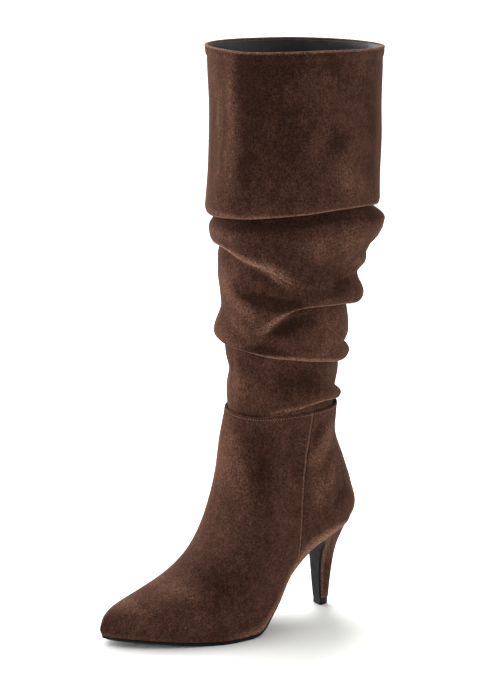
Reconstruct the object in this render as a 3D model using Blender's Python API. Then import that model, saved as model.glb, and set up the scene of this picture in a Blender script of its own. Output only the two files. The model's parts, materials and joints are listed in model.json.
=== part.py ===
"""A heeled boot with a slouching suede shaft, for the left foot.

The boot stands on its sole with +X towards the toe, +Y towards the outer side and +Z up. Sizes are
written in millimetres and become metres when a mesh is made. Along the foot, lengths count from the
back of the heel to the toe tip.
"""

import math
from typing import NamedTuple

import bmesh
import bpy
import numpy as np
from mathutils import Matrix, Vector
from mathutils.bvhtree import BVHTree

MM = 0.001

# Driving sizes of the boot
FOOT_LENGTH = 240.0
BALL_WIDTH = 82.0
HEEL_HEIGHT = 72.0
ANKLE_HEIGHT = 184.0
BOOT_HEIGHT = 485.0

# Thicknesses and gaps
UPPER_WALL = 2.0
SHAFT_WALL = 1.7
SOLE_EDGE = 2.6
INSOLE_BOARD = 2.2
HEEL_FLAP = 1.8
GAP = 0.35

# Mesh density
SECTION_STEPS = 2
GIRTH_STEPS = 10
SHAFT_SIDES = 36


class FootSection(NamedTuple):
    """One slanting section of the last, from the sole or heel back up to the ridge of the instep.

    along and top_along are shares of FOOT_LENGTH, lift of HEEL_HEIGHT, top_rise of ANKLE_HEIGHT and
    all half widths of half of BALL_WIDTH. Outer is +Y and inner is -Y, both written as they lie.
    girth_at is the share of the way up where the section is widest. A fullness under 1 squares its
    upper part and a cup under 1 its lower part.
    """

    along: float
    lift: float
    outer: float
    inner: float
    top_along: float
    top_rise: float
    swing: float
    girth_outer: float
    girth_inner: float
    girth_at: float
    fullness: float
    cup: float


FOOT_SECTIONS = (
    FootSection(0.987, 0.076, -0.20, -0.20, 0.996, 0.089, -0.20, -0.20, -0.20, 0.40, 1.00, 1.00),
    FootSection(0.976, 0.078, -0.05, -0.34, 0.977, 0.131, -0.20, -0.03, -0.35, 0.40, 1.00, 1.00),
    FootSection(0.947, 0.075, 0.14, -0.49, 0.943, 0.162, -0.20, 0.16, -0.51, 0.38, 1.00, 1.00),
    FootSection(0.902, 0.066, 0.34, -0.63, 0.895, 0.186, -0.18, 0.40, -0.67, 0.36, 1.00, 1.00),
    FootSection(0.840, 0.050, 0.57, -0.77, 0.832, 0.211, -0.17, 0.65, -0.82, 0.34, 1.00, 1.00),
    FootSection(0.767, 0.026, 0.78, -0.88, 0.754, 0.250, -0.15, 0.86, -0.94, 0.32, 1.00, 1.00),
    FootSection(0.688, 0.006, 0.96, -0.91, 0.670, 0.314, -0.12, 1.04, -0.99, 0.31, 1.00, 1.00),
    FootSection(0.596, 0.000, 1.10, -0.85, 0.604, 0.415, -0.10, 1.15, -0.95, 0.30, 1.00, 1.00),
    FootSection(0.502, 0.016, 1.11, -0.71, 0.562, 0.553, -0.07, 1.16, -0.90, 0.30, 1.00, 1.00),
    FootSection(0.406, 0.240, 0.90, -0.55, 0.540, 0.677, -0.05, 1.05, -0.87, 0.31, 1.00, 1.00),
    FootSection(0.318, 0.602, 0.72, -0.51, 0.529, 0.766, -0.02, 0.95, -0.84, 0.32, 0.90, 1.00),
    FootSection(0.231, 0.832, 0.65, -0.59, 0.522, 0.832, 0.00, 0.90, -0.84, 0.33, 0.78, 1.00),
    FootSection(0.138, 0.972, 0.60, -0.59, 0.516, 0.875, 0.00, 0.88, -0.84, 0.34, 0.68, 0.93),
    FootSection(0.056, 1.064, 0.35, -0.35, 0.511, 0.908, 0.00, 0.88, -0.85, 0.35, 0.65, 0.84),
    FootSection(0.017, 1.124, 0.00, 0.00, 0.508, 0.929, 0.00, 0.88, -0.85, 0.36, 0.65, 0.80),
    FootSection(0.000, 1.300, 0.00, 0.00, 0.504, 0.948, 0.00, 0.89, -0.87, 0.38, 0.66, 0.86),
    FootSection(0.015, 1.560, 0.00, 0.00, 0.501, 0.965, 0.00, 0.89, -0.88, 0.41, 0.70, 1.00),
    FootSection(0.046, 1.864, 0.00, 0.00, 0.498, 0.978, 0.00, 0.93, -0.90, 0.44, 0.76, 1.00),
    FootSection(0.086, 2.290, 0.00, 0.00, 0.496, 0.992, 0.00, 0.96, -0.94, 0.47, 0.87, 1.00),
    FootSection(0.080, 2.641, 0.00, 0.00, 0.495, 1.005, 0.00, 1.00, -0.98, 0.50, 1.00, 1.00),
)
BEND_ROW = 11.6
NOSE = 0.9


class HeelSection(NamedTuple):
    """One slice of the heel from the seat down to the tip, measured to the face of the breast."""

    breast: float
    breast_z: float
    back: float
    back_z: float
    half_width: float
    middle: float


HEEL_SECTIONS = (
    HeelSection(35.4, 67.8, 5.2, 78.2, 20.6, 0.0),
    HeelSection(35.2, 59.5, 9.9, 66.5, 15.6, 0.6),
    HeelSection(35.1, 50.0, 14.0, 54.0, 10.4, 1.2),
    HeelSection(34.9, 40.0, 16.7, 42.5, 8.0, 1.3),
    HeelSection(34.2, 28.0, 18.4, 29.5, 6.9, 0.8),
    HeelSection(33.0, 16.0, 19.6, 16.8, 6.2, 0.3),
    HeelSection(32.0, 6.4, 20.6, 6.4, 5.7, 0.0),
)
HEEL_FULLNESS = 2.3
HEEL_SIDES = 14
TIP_HEIGHT = 6.0


class ShaftSection(NamedTuple):
    """The plain tube of the shaft at one height, before it slouches.

    egg is the share by which the tube is wider in front of its middle and narrower behind it.
    """

    height: float
    centre: float
    half_depth: float
    half_width: float
    egg: float


SHAFT_SECTIONS = (
    ShaftSection(485.0, 54.2, 75.4, 66.5, 0.12),
    ShaftSection(420.0, 53.6, 68.8, 61.4, 0.08),
    ShaftSection(350.0, 57.0, 64.2, 57.2, 0.03),
    ShaftSection(320.0, 59.0, 61.5, 55.5, 0.00),
    ShaftSection(296.0, 62.0, 58.5, 52.5, 0.00),
    ShaftSection(270.0, 66.2, 53.6, 48.5, 0.00),
    ShaftSection(237.0, 66.6, 50.5, 45.0, 0.00),
    ShaftSection(215.0, 67.0, 46.5, 41.0, 0.00),
    ShaftSection(198.0, 68.6, 46.3, 39.6, 0.00),
    ShaftSection(184.0, 70.2, 45.2, 36.6, 0.00),
    ShaftSection(174.0, 70.0, 43.2, 33.4, 0.00),
)


class Fold(NamedTuple):
    """One roll of the shaft: where its lower lip runs, how far it stands out, and its shape.

    Each long row has sixteen values at even steps round the shaft, from the front towards the outer
    side. sharp runs from 0, where the roll only fades into the one below, to 1, where it ends in an
    overhanging lip. crown is the share of the way down where the roll is fullest, lip the share of
    its fullness left at the lip, droop how far the lip hangs and tuck how deep the cloth starts
    again below it. steps are the shares of the way down that get a ring.
    """

    name: str
    lip_height: tuple
    bulge: tuple
    sharp: tuple
    crown: tuple
    lip: float
    droop: float
    tuck: float
    steps: tuple


ROLL_STEPS = (0.12, 0.34, 0.56, 0.74, 0.88, 0.96)
PLEAT_STEPS = (0.30, 0.62, 0.88)
FOLDS = (
    Fold(
        "cuff",
        (347.5, 349, 351.5, 353.5, 355, 356.3, 355, 352, 349, 348, 347, 346.3, 346, 346.2, 346.6, 347),
        (10.5, 10.3, 10, 9.7, 9.5, 9.2, 9, 9, 9, 9.2, 9.5, 9.5, 9.5, 9.8, 10.5, 10.6),
        (1.0,) * 16,
        (0.95,) * 16,
        0.72, 2.0, 1.5, (0.33, 0.66, 0.90, 0.95, 0.98),
    ),
    Fold(
        "upper roll",
        (321.5, 314, 305, 293, 290, 297, 299, 298, 301, 304, 307, 311, 315, 318, 320.5, 323),
        (9, 8.6, 8, 7.5, 9, 13, 17, 17, 15, 12, 9.5, 8, 7, 7.3, 8, 8.8),
        (1, 1, 0.8, 0.1, 0, 0, 0.05, 0.1, 0.4, 0.7, 0.9, 0.9, 0.9, 1, 1, 1),
        (0.48, 0.46, 0.42, 0.36, 0.32, 0.26, 0.24, 0.24, 0.25, 0.32, 0.38, 0.42, 0.46, 0.48, 0.50, 0.50),
        0.45, 1.6, 1.5, ROLL_STEPS,
    ),
    Fold(
        "middle roll",
        (262, 250, 260, 273, 276.5, 275, 272.5, 271, 271, 269, 268, 268, 270, 272, 270, 266),
        (0.3, 0.8, 3.4, 5.2, 6.5, 8.5, 10.5, 10, 9, 7, 5.5, 4, 3, 1.5, 0.5, 0.3),
        (0, 0, 0.35, 0.8, 1, 1, 1, 1, 1, 0.9, 0.8, 0.6, 0.4, 0.2, 0, 0),
        (0.60, 0.60, 0.72, 0.78, 0.78, 0.78, 0.80, 0.78, 0.72, 0.68, 0.66, 0.66, 0.66, 0.62, 0.60, 0.60),
        0.62, 2.0, 1.5, ROLL_STEPS,
    ),
    Fold(
        "lower pleat",
        (260, 248.5, 258.5, 266, 265, 252, 240, 237.5, 239, 247, 256, 262, 266, 269, 268.5, 264.5),
        (0, 0, 0, 0.3, 1, 2.6, 4, 4.2, 4, 3, 2, 1, 0, 0, 0, 0),
        (0, 0, 0, 0, 0.2, 0.5, 0.8, 0.85, 0.8, 0.5, 0.3, 0.1, 0, 0, 0, 0),
        (0.60, 0.60, 0.60, 0.60, 0.62, 0.68, 0.72, 0.72, 0.72, 0.66, 0.60, 0.60, 0.60, 0.60, 0.60, 0.60),
        0.30, 0.8, 0.3, PLEAT_STEPS,
    ),
    Fold(
        "lower roll",
        (241, 238.3, 235.5, 232, 229, 226.5, 224, 222, 221, 223.5, 227, 231, 234, 236, 239, 243),
        (8, 7, 6.5, 5.8, 5.5, 6.3, 7.5, 7.6, 7, 6.4, 6, 6.2, 6.5, 7, 8, 8.3),
        (1, 1, 1, 1, 1, 1, 1, 1, 0.9, 0.9, 0.9, 0.9, 0.9, 0.9, 1, 1),
        (0.52, 0.55, 0.60, 0.65, 0.68, 0.64, 0.58, 0.58, 0.58, 0.58, 0.60, 0.58, 0.55, 0.52, 0.52, 0.52),
        0.55, 2.0, 1.4, ROLL_STEPS,
    ),
    Fold(
        "ankle pleat",
        (238.5, 236, 233, 228, 222, 212, 202, 200, 200, 208, 217, 225, 231, 233.5, 236.5, 240.5),
        (0, 0, 0, 0.1, 0.3, 0.8, 1.4, 1.4, 1.2, 0.8, 0.5, 0.2, 0, 0, 0, 0),
        (0, 0, 0, 0, 0.1, 0.2, 0.3, 0.3, 0.3, 0.2, 0.1, 0, 0, 0, 0, 0),
        (0.40, 0.40, 0.40, 0.40, 0.40, 0.34, 0.30, 0.30, 0.30, 0.34, 0.40, 0.40, 0.40, 0.40, 0.40, 0.40),
        0.20, 0.3, 0.2, PLEAT_STEPS,
    ),
    Fold(
        "ankle roll",
        (180.5, 180.5, 182.5, 187, 190, 192.5, 190.5, 189.5, 191, 190.5, 189, 187, 185, 183, 181, 180.5),
        (0.6, 0.6, 1, 2.8, 4.5, 6, 6.8, 6.6, 6, 5, 4, 3, 2, 1.2, 0.6, 0.5),
        (0.3, 0.3, 0.6, 0.9, 1, 1, 1, 1, 0.9, 0.8, 0.7, 0.6, 0.5, 0.4, 0.3, 0.3),
        (0.66, 0.68, 0.70, 0.71, 0.72, 0.68, 0.62, 0.62, 0.64, 0.67, 0.70, 0.70, 0.70, 0.70, 0.70, 0.68),
        0.70, 0.6, 1.0, ROLL_STEPS,
    ),
)
RIM_DROP = (1.0, 1.4, 1.5, 1.3, 1.2, 1.5, 1.9, 1.9, 1.2, 0.5, 0, 0, 0, 0, 0.2, 0.5)

# How far the side that faces out and forwards is flattened: its share round the shaft, and its depth
FLAT_SIDE = (-0.12, 0.15, 0.70, 1.0, 0.95, 0.6, 0.2, 0, 0, 0, 0, 0, 0, 0, 0, -0.08)
FLAT_DEPTHS = ((174.0, 0.0), (200.0, 2.0), (300.0, 3.0), (356.0, 4.0), (420.0, 7.0), (485.0, 9.0))
HEM_BAND = 8.5
HEM_STEP = 0.8

# The zip on the inner side: its line along the foot, the heights of its ends, and its pieces
ZIP_ALONG = 69.0
ZIP_FOOT = 72.0
ZIP_TOP = 174.0
ZIP_HALF_WIDTH = 3.0
ZIP_PROUD = 0.5
ZIP_DEPTH = 1.6
ZIP_STEPS = 14
SLIDER_DROP = 7.0
SLIDER_LENGTH = 11.0
SLIDER_WIDTH = 8.4
SLIDER_THICK = 2.4
LUG_THICK = 1.3
AXLE_RADIUS = 0.6
EYE_RADIUS = 1.5
EYE_CLEARANCE = 0.25
PULL_WIDTH = 4.4
PULL_LENGTH = 26.0
PULL_THICK = 1.6

SUEDE = ("brown suede", (0.075, 0.032, 0.020, 1.0), 0.95, 0.0)
BLACK_SOLE = ("black sole", (0.012, 0.012, 0.013, 1.0), 0.45, 0.0)
SOCK = ("black sock", (0.015, 0.015, 0.016, 1.0), 0.80, 0.0)
TIP_RUBBER = ("black tip", (0.010, 0.010, 0.010, 1.0), 0.55, 0.0)
ZIP_COIL = ("brown zip", (0.050, 0.026, 0.018, 1.0), 0.60, 0.0)
ZIP_METAL = ("dark metal", (0.20, 0.17, 0.14, 1.0), 0.35, 1.0)


def smooth(column, places):
    """Read a column of a table at fractional row numbers, on a cubic that never overshoots its rows."""
    values = np.asarray(column, float)
    slopes = np.diff(values)
    tangents = np.zeros_like(values)
    tangents[0], tangents[-1] = slopes[0], slopes[-1]
    for i in range(1, len(values) - 1):
        before, after = slopes[i - 1], slopes[i]
        if before * after > 0:
            tangents[i] = 2 * before * after / (before + after)
    row = np.clip(np.floor(places).astype(int), 0, len(values) - 2)
    u = places - row
    return (
        (1 + 2 * u) * (1 - u) ** 2 * values[row]
        + u * (1 - u) ** 2 * tangents[row]
        + u * u * (3 - 2 * u) * values[row + 1]
        + u * u * (u - 1) * tangents[row + 1]
    )


def around(ring, angles):
    """Read values given at even steps round the shaft at any angles, in radians."""
    values = np.asarray(ring, float)
    count = len(values)
    place = (np.asarray(angles) / (2 * math.pi) * count) % count
    i = np.floor(place).astype(int)
    u = place - i
    before, here, after, beyond = (values[(i + k) % count] for k in (-1, 0, 1, 2))
    return here + 0.5 * u * (
        after - before
        + u * (2 * before - 5 * here + 4 * after - beyond + u * (3 * (here - after) + beyond - before))
    )


def foot_rows(places):
    """The last's sections at fractional row numbers, in millimetres, as one FootSection of arrays."""
    ground = SOLE_EDGE + GAP
    scale = {
        "along": FOOT_LENGTH,
        "lift": HEEL_HEIGHT - ground,
        "top_along": FOOT_LENGTH,
        "top_rise": ANKLE_HEIGHT,
        "girth_at": 1.0,
        "fullness": 1.0,
        "cup": 1.0,
    }
    columns = {}
    for name, column in zip(FootSection._fields, zip(*FOOT_SECTIONS)):
        columns[name] = smooth(column, places) * scale.get(name, BALL_WIDTH / 2)
    columns["lift"] = columns["lift"] + ground
    return FootSection(**columns)


def foot_skin():
    """Outer face of the foot part, one arch of points for each section, from outer edge to inner edge."""
    count = (len(FOOT_SECTIONS) - 1) * SECTION_STEPS + 1
    places = np.linspace(0, len(FOOT_SECTIONS) - 1, count)
    rows = foot_rows(places)
    turn = np.linspace(-math.pi / 2, math.pi / 2, GIRTH_STEPS + 1)
    low = turn < 0
    arches = []
    for k in range(count):
        row = FootSection(*(column[k] for column in rows))
        share = row.girth_at + np.where(low, row.girth_at, 1 - row.girth_at) * np.sin(turn)
        x = row.along + share * (row.top_along - row.along)
        x = x + NOSE * math.exp(-((places[k] / 0.6) ** 2)) * np.sin(math.pi * share)
        z = row.lift + share * (row.top_rise - row.lift)
        sides = []
        for edge, girth in ((row.outer, row.girth_outer), (row.inner, row.girth_inner)):
            start = np.where(low, edge, row.swing)
            width = np.maximum(np.cos(turn), 0) ** np.where(low, row.cup, row.fullness)
            y = start + (girth - start) * width
            sides.append(np.stack([x, y, z], axis=1))
        arches.append(np.concatenate([sides[0], sides[1][-2::-1]]))
    return np.array(arches)


def shaft_ring(angles, heights, offset):
    """One ring of the shaft: the plain tube at these heights, moved out by offset."""
    table = np.array(SHAFT_SECTIONS)[::-1]
    places = np.interp(heights, table[:, 0], np.arange(len(table)))
    centre, half_depth, half_width, egg = (smooth(table[:, column], places) for column in (1, 2, 3, 4))
    flat = np.interp(heights, *zip(*FLAT_DEPTHS)) * around(FLAT_SIDE, angles)
    offset = offset - flat
    x = centre + (half_depth + offset) * np.cos(angles)
    y = (half_width + offset) * np.sin(angles) * (1 + egg * np.cos(angles))
    return np.stack([x, y, heights], axis=1)


def roll_shape(u, fold, crown, sharp, sharp_above):
    """How full a roll is at share u of the way down, from its crown and the sharpness at both ends."""
    rise = np.clip(u / crown, 0, 1)
    if fold.name != "cuff":
        eased = 0.5 - 0.5 * np.cos(math.pi * rise)
        rise = sharp_above * np.sin(math.pi / 2 * rise) + (1 - sharp_above) * eased
    past = np.clip((u - crown) / (1 - crown), 0, 1)
    rounded = fold.lip + (1 - fold.lip) * np.sqrt(1 - past * past)
    faded = 0.5 + 0.5 * np.cos(math.pi * past)
    return rise * (sharp * rounded + (1 - sharp) * faded)


def shaft_skins():
    """Outer and inner faces of the shaft as rings from the collar to the hidden end inside the ankle."""
    angles = np.linspace(0, 2 * math.pi, SHAFT_SIDES, endpoint=False)
    level = BOOT_HEIGHT - around(RIM_DROP, angles)
    top = level - HEM_BAND - HEM_STEP
    outer = [
        shaft_ring(angles, level, HEM_STEP),
        shaft_ring(angles, level - HEM_BAND, HEM_STEP),
        shaft_ring(angles, top, 0.0),
    ]
    inner = [shaft_ring(angles, level, -SHAFT_WALL)]
    tuck = np.zeros(SHAFT_SIDES)
    sharp_above = np.zeros(SHAFT_SIDES)
    for fold in FOLDS:
        lip = around(fold.lip_height, angles)
        bulge = around(fold.bulge, angles)
        sharp = np.clip(around(fold.sharp, angles), 0, 1)
        crown = around(fold.crown, angles)
        for number, u in enumerate(fold.steps):
            heights = top + (lip - top) * u
            offset = bulge * roll_shape(u, fold, crown, sharp, sharp_above) - tuck * (1 - u) ** 2
            outer.append(shaft_ring(angles, heights, offset))
            if number in (0, 2, 3):
                inner.append(shaft_ring(angles, heights, offset - SHAFT_WALL))
        outer.append(shaft_ring(angles, lip - fold.droop * sharp * 0.5, bulge * fold.lip * sharp * 0.9))
        outer.append(shaft_ring(angles, lip - fold.droop * sharp * 0.5, bulge * fold.lip * sharp * 0.4))
        sharp_above = sharp
        tuck = fold.tuck * sharp
        top = lip - 0.3 + GAP * sharp
        outer.append(shaft_ring(angles, top, -tuck))
        inner.append(shaft_ring(angles, top, -tuck - SHAFT_WALL))
    hidden = np.full(SHAFT_SIDES, SHAFT_SECTIONS[-1].height)
    outer.append(shaft_ring(angles, np.minimum(top - 1.0, ANKLE_HEIGHT + 1.0), -0.5))
    outer.append(shaft_ring(angles, hidden, 0.0))
    inner.append(shaft_ring(angles, hidden, -SHAFT_WALL))
    return outer, inner


def bezier(start, corner, end, steps):
    """Points of a curve that leaves start and reaches end along the lines through corner."""
    return [
        tuple((1 - u) ** 2 * s + 2 * u * (1 - u) * c + u * u * e for s, c, e in zip(start, corner, end))
        for u in np.linspace(0, 1, steps)
    ]


def heel_line(heights):
    """Breast position, outer edge and inner edge of the heel at each height of its breast."""
    table = np.array(HEEL_SECTIONS)[::-1]
    places = np.interp(heights, table[:, 1], np.arange(len(table)))
    breast, half_width, middle = (smooth(table[:, column], places) for column in (0, 4, 5))
    return breast, middle + half_width, middle - half_width


def sole_path():
    """Hidden face of the outsole from toe to heel tip: x, z, outer edge, inner edge and thickness."""
    places = np.append(np.arange(0, 11.3, 0.5), BEND_ROW)
    rows = foot_rows(places)
    waist = np.clip((places - 7) / 3, 0, 1)
    toe = np.clip(1 - places / 5, 0, 1)
    margin = 0.7 - 2.0 * waist
    thickness = SOLE_EDGE - 0.4 * waist - 1.0 * toe
    path = [
        list(point)
        for point in zip(rows.along, rows.lift - GAP, rows.outer + margin, rows.inner - margin, thickness)
    ]
    seat_z = HEEL_SECTIONS[0].breast_z + 0.6
    low_z = HEEL_SECTIONS[2].breast_z + 2.0
    breast, outer, inner = heel_line(np.array([low_z]))
    end = (breast[0] - HEEL_FLAP, low_z, outer[0], inner[0], HEEL_FLAP)
    corner = (HEEL_SECTIONS[0].breast - HEEL_FLAP, seat_z, 22.5, -22.0, HEEL_FLAP)
    path += bezier(path[-1], corner, end, 7)[1:]
    heights = np.linspace(low_z, TIP_HEIGHT + 0.4, 7)[1:]
    for z, breast, outer, inner in zip(heights, *heel_line(heights)):
        path.append((breast - HEEL_FLAP, z, outer, inner, HEEL_FLAP))
    return np.array(path)


def build_outsole(boot):
    """The black sole: a thin plate from the toe to the heel, turned down over the heel's breast."""
    path = sole_path()
    step = np.gradient(path[:, :2], axis=0)
    step /= np.linalg.norm(step, axis=1)[:, None]
    face_x = path[:, 0] - step[:, 1] * path[:, 4]
    face_z = path[:, 1] + step[:, 0] * path[:, 4]
    ball = (path[:, 0] > 0.53 * FOOT_LENGTH) & (path[:, 0] < 0.67 * FOOT_LENGTH)
    face_z = np.where(ball, 0.0, np.maximum(face_z, 0.0))
    rings = []
    for (x, z, outer, inner, thick), low_x, low_z in zip(path, face_x, face_z):
        rounding = 0.25 * thick
        mid_x, mid_z = x + 0.6 * (low_x - x), z + 0.6 * (low_z - z)
        rings.append([
            (x, outer, z), (mid_x, outer, mid_z), (low_x, outer - rounding, low_z),
            (low_x, inner + rounding, low_z), (mid_x, inner, mid_z), (x, inner, z),
        ])
    return make_object("outsole", skin_mesh(rings, ring_closed=True, caps=True), BLACK_SOLE, boot)


def heel_ring(section, front):
    """One slice of the heel: flat across the breast and rounded behind it."""
    turn = np.linspace(-math.pi / 2, math.pi / 2, HEEL_SIDES + 1)
    depth = np.abs(np.cos(turn)) ** (2 / HEEL_FULLNESS)
    x = front - (front - section.back) * depth
    side = np.sign(turn) * np.abs(np.sin(turn)) ** (2 / HEEL_FULLNESS)
    y = section.middle + section.half_width * side
    z = section.breast_z + (section.back_z - section.breast_z) * (front - x) / (front - section.back)
    return np.stack([x, y, z], axis=1)


def build_heel(boot):
    """The slim covered heel, behind the turned-down end of the sole."""
    places = np.linspace(0, len(HEEL_SECTIONS) - 1, 2 * len(HEEL_SECTIONS) - 1)
    columns = [smooth(column, places) for column in zip(*HEEL_SECTIONS)]
    sections = [HeelSection(*values) for values in zip(*columns)]
    rings = [heel_ring(section, section.breast - HEEL_FLAP - GAP) for section in sections]
    return make_object("heel", skin_mesh(rings, ring_closed=True, caps=True), SUEDE, boot)


def build_tip(boot):
    """The black top piece under the heel, which stands on the floor."""
    last = HEEL_SECTIONS[-1]
    rings = []
    for height, shrink in ((TIP_HEIGHT, 0.5), (0.8, 0.5), (0.0, 1.0)):
        slice_at = last._replace(
            breast_z=height, back_z=height, back=last.back + shrink, half_width=last.half_width - shrink
        )
        rings.append(heel_ring(slice_at, last.breast - shrink))
    return make_object("heel_top_piece", skin_mesh(rings, ring_closed=True, caps=True), TIP_RUBBER, boot)


def build_insole(boot):
    """The sock board inside the foot part, clear of its walls."""
    places = np.concatenate([[1.7], np.arange(2.0, 13.1, 0.5), [13.3]])
    rows = foot_rows(places)
    ends = np.clip(3.0 - places, 0, 1) + np.clip(places - 12.0, 0, 2) ** 2
    inset = UPPER_WALL + 0.8 + 2.6 * ends
    rings = []
    for x, z, outer, inner in zip(rows.along, rows.lift + GAP, rows.outer - inset, rows.inner + inset):
        top = z + INSOLE_BOARD
        rings.append([(x, outer, z), (x, outer, top), (x, inner, top), (x, inner, z)])
    return make_object("insole", skin_mesh(rings, ring_closed=True, caps=True), SOCK, boot)


def make_object(name, bm, look, parent):
    """Turn a bmesh in millimetres into a named object in metres with its own material."""
    bmesh.ops.scale(bm, vec=(MM, MM, MM), verts=bm.verts)
    mesh = bpy.data.meshes.new(name)
    bm.to_mesh(mesh)
    bm.free()
    mesh.shade_smooth()
    mesh.set_sharp_from_angle(angle=math.radians(50))
    made = bpy.data.objects.new(name, mesh)
    bpy.context.scene.collection.objects.link(made)
    made.parent = parent
    if look:
        mesh.materials.append(material(*look))
    return made


def material(name, colour, roughness, metallic):
    """A Principled material with one colour, made once for each name."""
    found = bpy.data.materials.get(name)
    if found:
        return found
    made = bpy.data.materials.new(name)
    made.use_nodes = True
    shader = made.node_tree.nodes["Principled BSDF"]
    shader.inputs["Base Color"].default_value = colour
    shader.inputs["Roughness"].default_value = roughness
    shader.inputs["Metallic"].default_value = metallic
    made.diffuse_color = colour
    return made


def skin_mesh(rows, ring_closed, caps=False, tube_closed=False):
    """A bmesh skin over rows of points, with equal points merged and its faces turned outwards."""
    bm = bmesh.new()
    grid = [[bm.verts.new(point) for point in row] for row in rows]
    across = len(grid[0])
    pairs = list(zip(grid, grid[1:]))
    if tube_closed:
        pairs.append((grid[-1], grid[0]))
    for upper, lower in pairs:
        for j in range(across if ring_closed else across - 1):
            k = (j + 1) % across
            bm.faces.new((upper[j], upper[k], lower[k], lower[j]))
    if caps:
        bm.faces.new(grid[0])
        bm.faces.new(grid[-1])
    bmesh.ops.remove_doubles(bm, verts=bm.verts, dist=0.01)
    bmesh.ops.recalc_face_normals(bm, faces=bm.faces)
    return bm


def add_boolean(target, other, operation):
    """Cut or join one object with a hidden second one."""
    other.hide_render = True
    other.display_type = "WIRE"
    boolean = target.modifiers.new(other.name, "BOOLEAN")
    boolean.operation = operation
    boolean.solver = "EXACT"
    boolean.object = other


class ZipLine:
    """The line of the zip on the inner face of the foot part."""

    outwards = Vector((0, -1, 0))

    def __init__(self, skin):
        self.surface = BVHTree.FromBMesh(skin)

    def at(self, along, height):
        """Point on the outer face, seen straight from the inner side."""
        return self.surface.ray_cast(Vector((along, -300.0, height)), -self.outwards)[0]

    def normal(self, along, height, reach=4.0):
        """Outward direction of the face, taken over a small patch of it."""
        over = self.at(along + reach, height) - self.at(along - reach, height)
        rise = self.at(along, height + reach) - self.at(along, height - reach)
        return over.cross(rise).normalized()

    def strip(self, half_width, low, high, outside, inside):
        """Rings of a strip along the zip, from outside the face to inside it."""
        rings = []
        for height in np.linspace(low, high, ZIP_STEPS + 1):
            left = self.at(ZIP_ALONG - half_width, height)
            right = self.at(ZIP_ALONG + half_width, height)
            rings.append([
                left + self.outwards * outside, right + self.outwards * outside,
                right - self.outwards * inside, left - self.outwards * inside,
            ])
        return rings


def block(size, centre, place):
    """A bmesh block of a size round a centre, set into a place on the boot."""
    bm = bmesh.new()
    bmesh.ops.create_cube(bm, size=1.0, matrix=place @ Matrix.Translation(centre) @ Matrix.Diagonal((*size, 1.0)))
    return bm


def rod(radius, length, place, sides=20):
    """A bmesh rod along the first axis of a place."""
    bm = bmesh.new()
    bmesh.ops.create_cone(
        bm, cap_ends=True, segments=sides, radius1=radius, radius2=radius, depth=length,
        matrix=place @ Matrix.Rotation(math.pi / 2, 4, "Y"),
    )
    return bm


def place_at(origin, across, up, out):
    """A place on the boot from its origin and three directions."""
    turned = Matrix((across, up, out)).transposed()
    return Matrix.Translation(origin) @ turned.to_4x4()


def build_upper(boot):
    """The foot part: one hollow wall, open at the ankle and underneath, with the slot of the zip."""
    skin = skin_mesh(foot_skin(), ring_closed=False)
    line = ZipLine(skin)
    upper = make_object("upper", skin, SUEDE, boot)
    wall = upper.modifiers.new("wall", "SOLIDIFY")
    wall.thickness = UPPER_WALL * MM
    wall.offset = -1.0
    wall.use_rim = True
    slot = skin_mesh(
        line.strip(ZIP_HALF_WIDTH + GAP, ZIP_FOOT - GAP, ZIP_TOP + GAP, 4.0, 5.0), ring_closed=True, caps=True
    )
    add_boolean(upper, make_object("zip slot cutter", slot, None, boot), "DIFFERENCE")
    return line


def build_shaft(boot):
    """The slouching tube above the ankle seam, open at both ends."""
    outer, inner = shaft_skins()
    skin = skin_mesh(outer + inner[::-1], ring_closed=True, tube_closed=True)
    make_object("shaft", skin, SUEDE, boot)


def build_slider(boot, place, pivot):
    """The slider, which stays at the top of the zip, with two lugs and the axle of the pull."""
    base = ZIP_PROUD + GAP
    body = block(
        (SLIDER_WIDTH, SLIDER_LENGTH, SLIDER_THICK), (0, 0, base + SLIDER_THICK / 2), place
    )
    bmesh.ops.bevel(
        body, geom=body.edges[:], offset=0.5, offset_type="OFFSET", segments=2, profile=0.5,
        affect="EDGES", material=-1, clamp_overlap=True,
    )
    slider = make_object("zip_slider", body, ZIP_METAL, boot)
    reach = PULL_WIDTH / 2 + GAP
    low = base + SLIDER_THICK - 0.5
    high = pivot.z + EYE_RADIUS
    for side in (-1, 1):
        centre = (side * (reach + LUG_THICK / 2), pivot.y, (low + high) / 2)
        lug = block((LUG_THICK, 2 * EYE_RADIUS, high - low), centre, place)
        add_boolean(slider, make_object(f"lug {side}", lug, None, boot), "UNION")
    axle = rod(AXLE_RADIUS, 2 * reach + LUG_THICK, place @ Matrix.Translation(pivot))
    add_boolean(slider, make_object("axle", axle, None, boot), "UNION")


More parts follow.
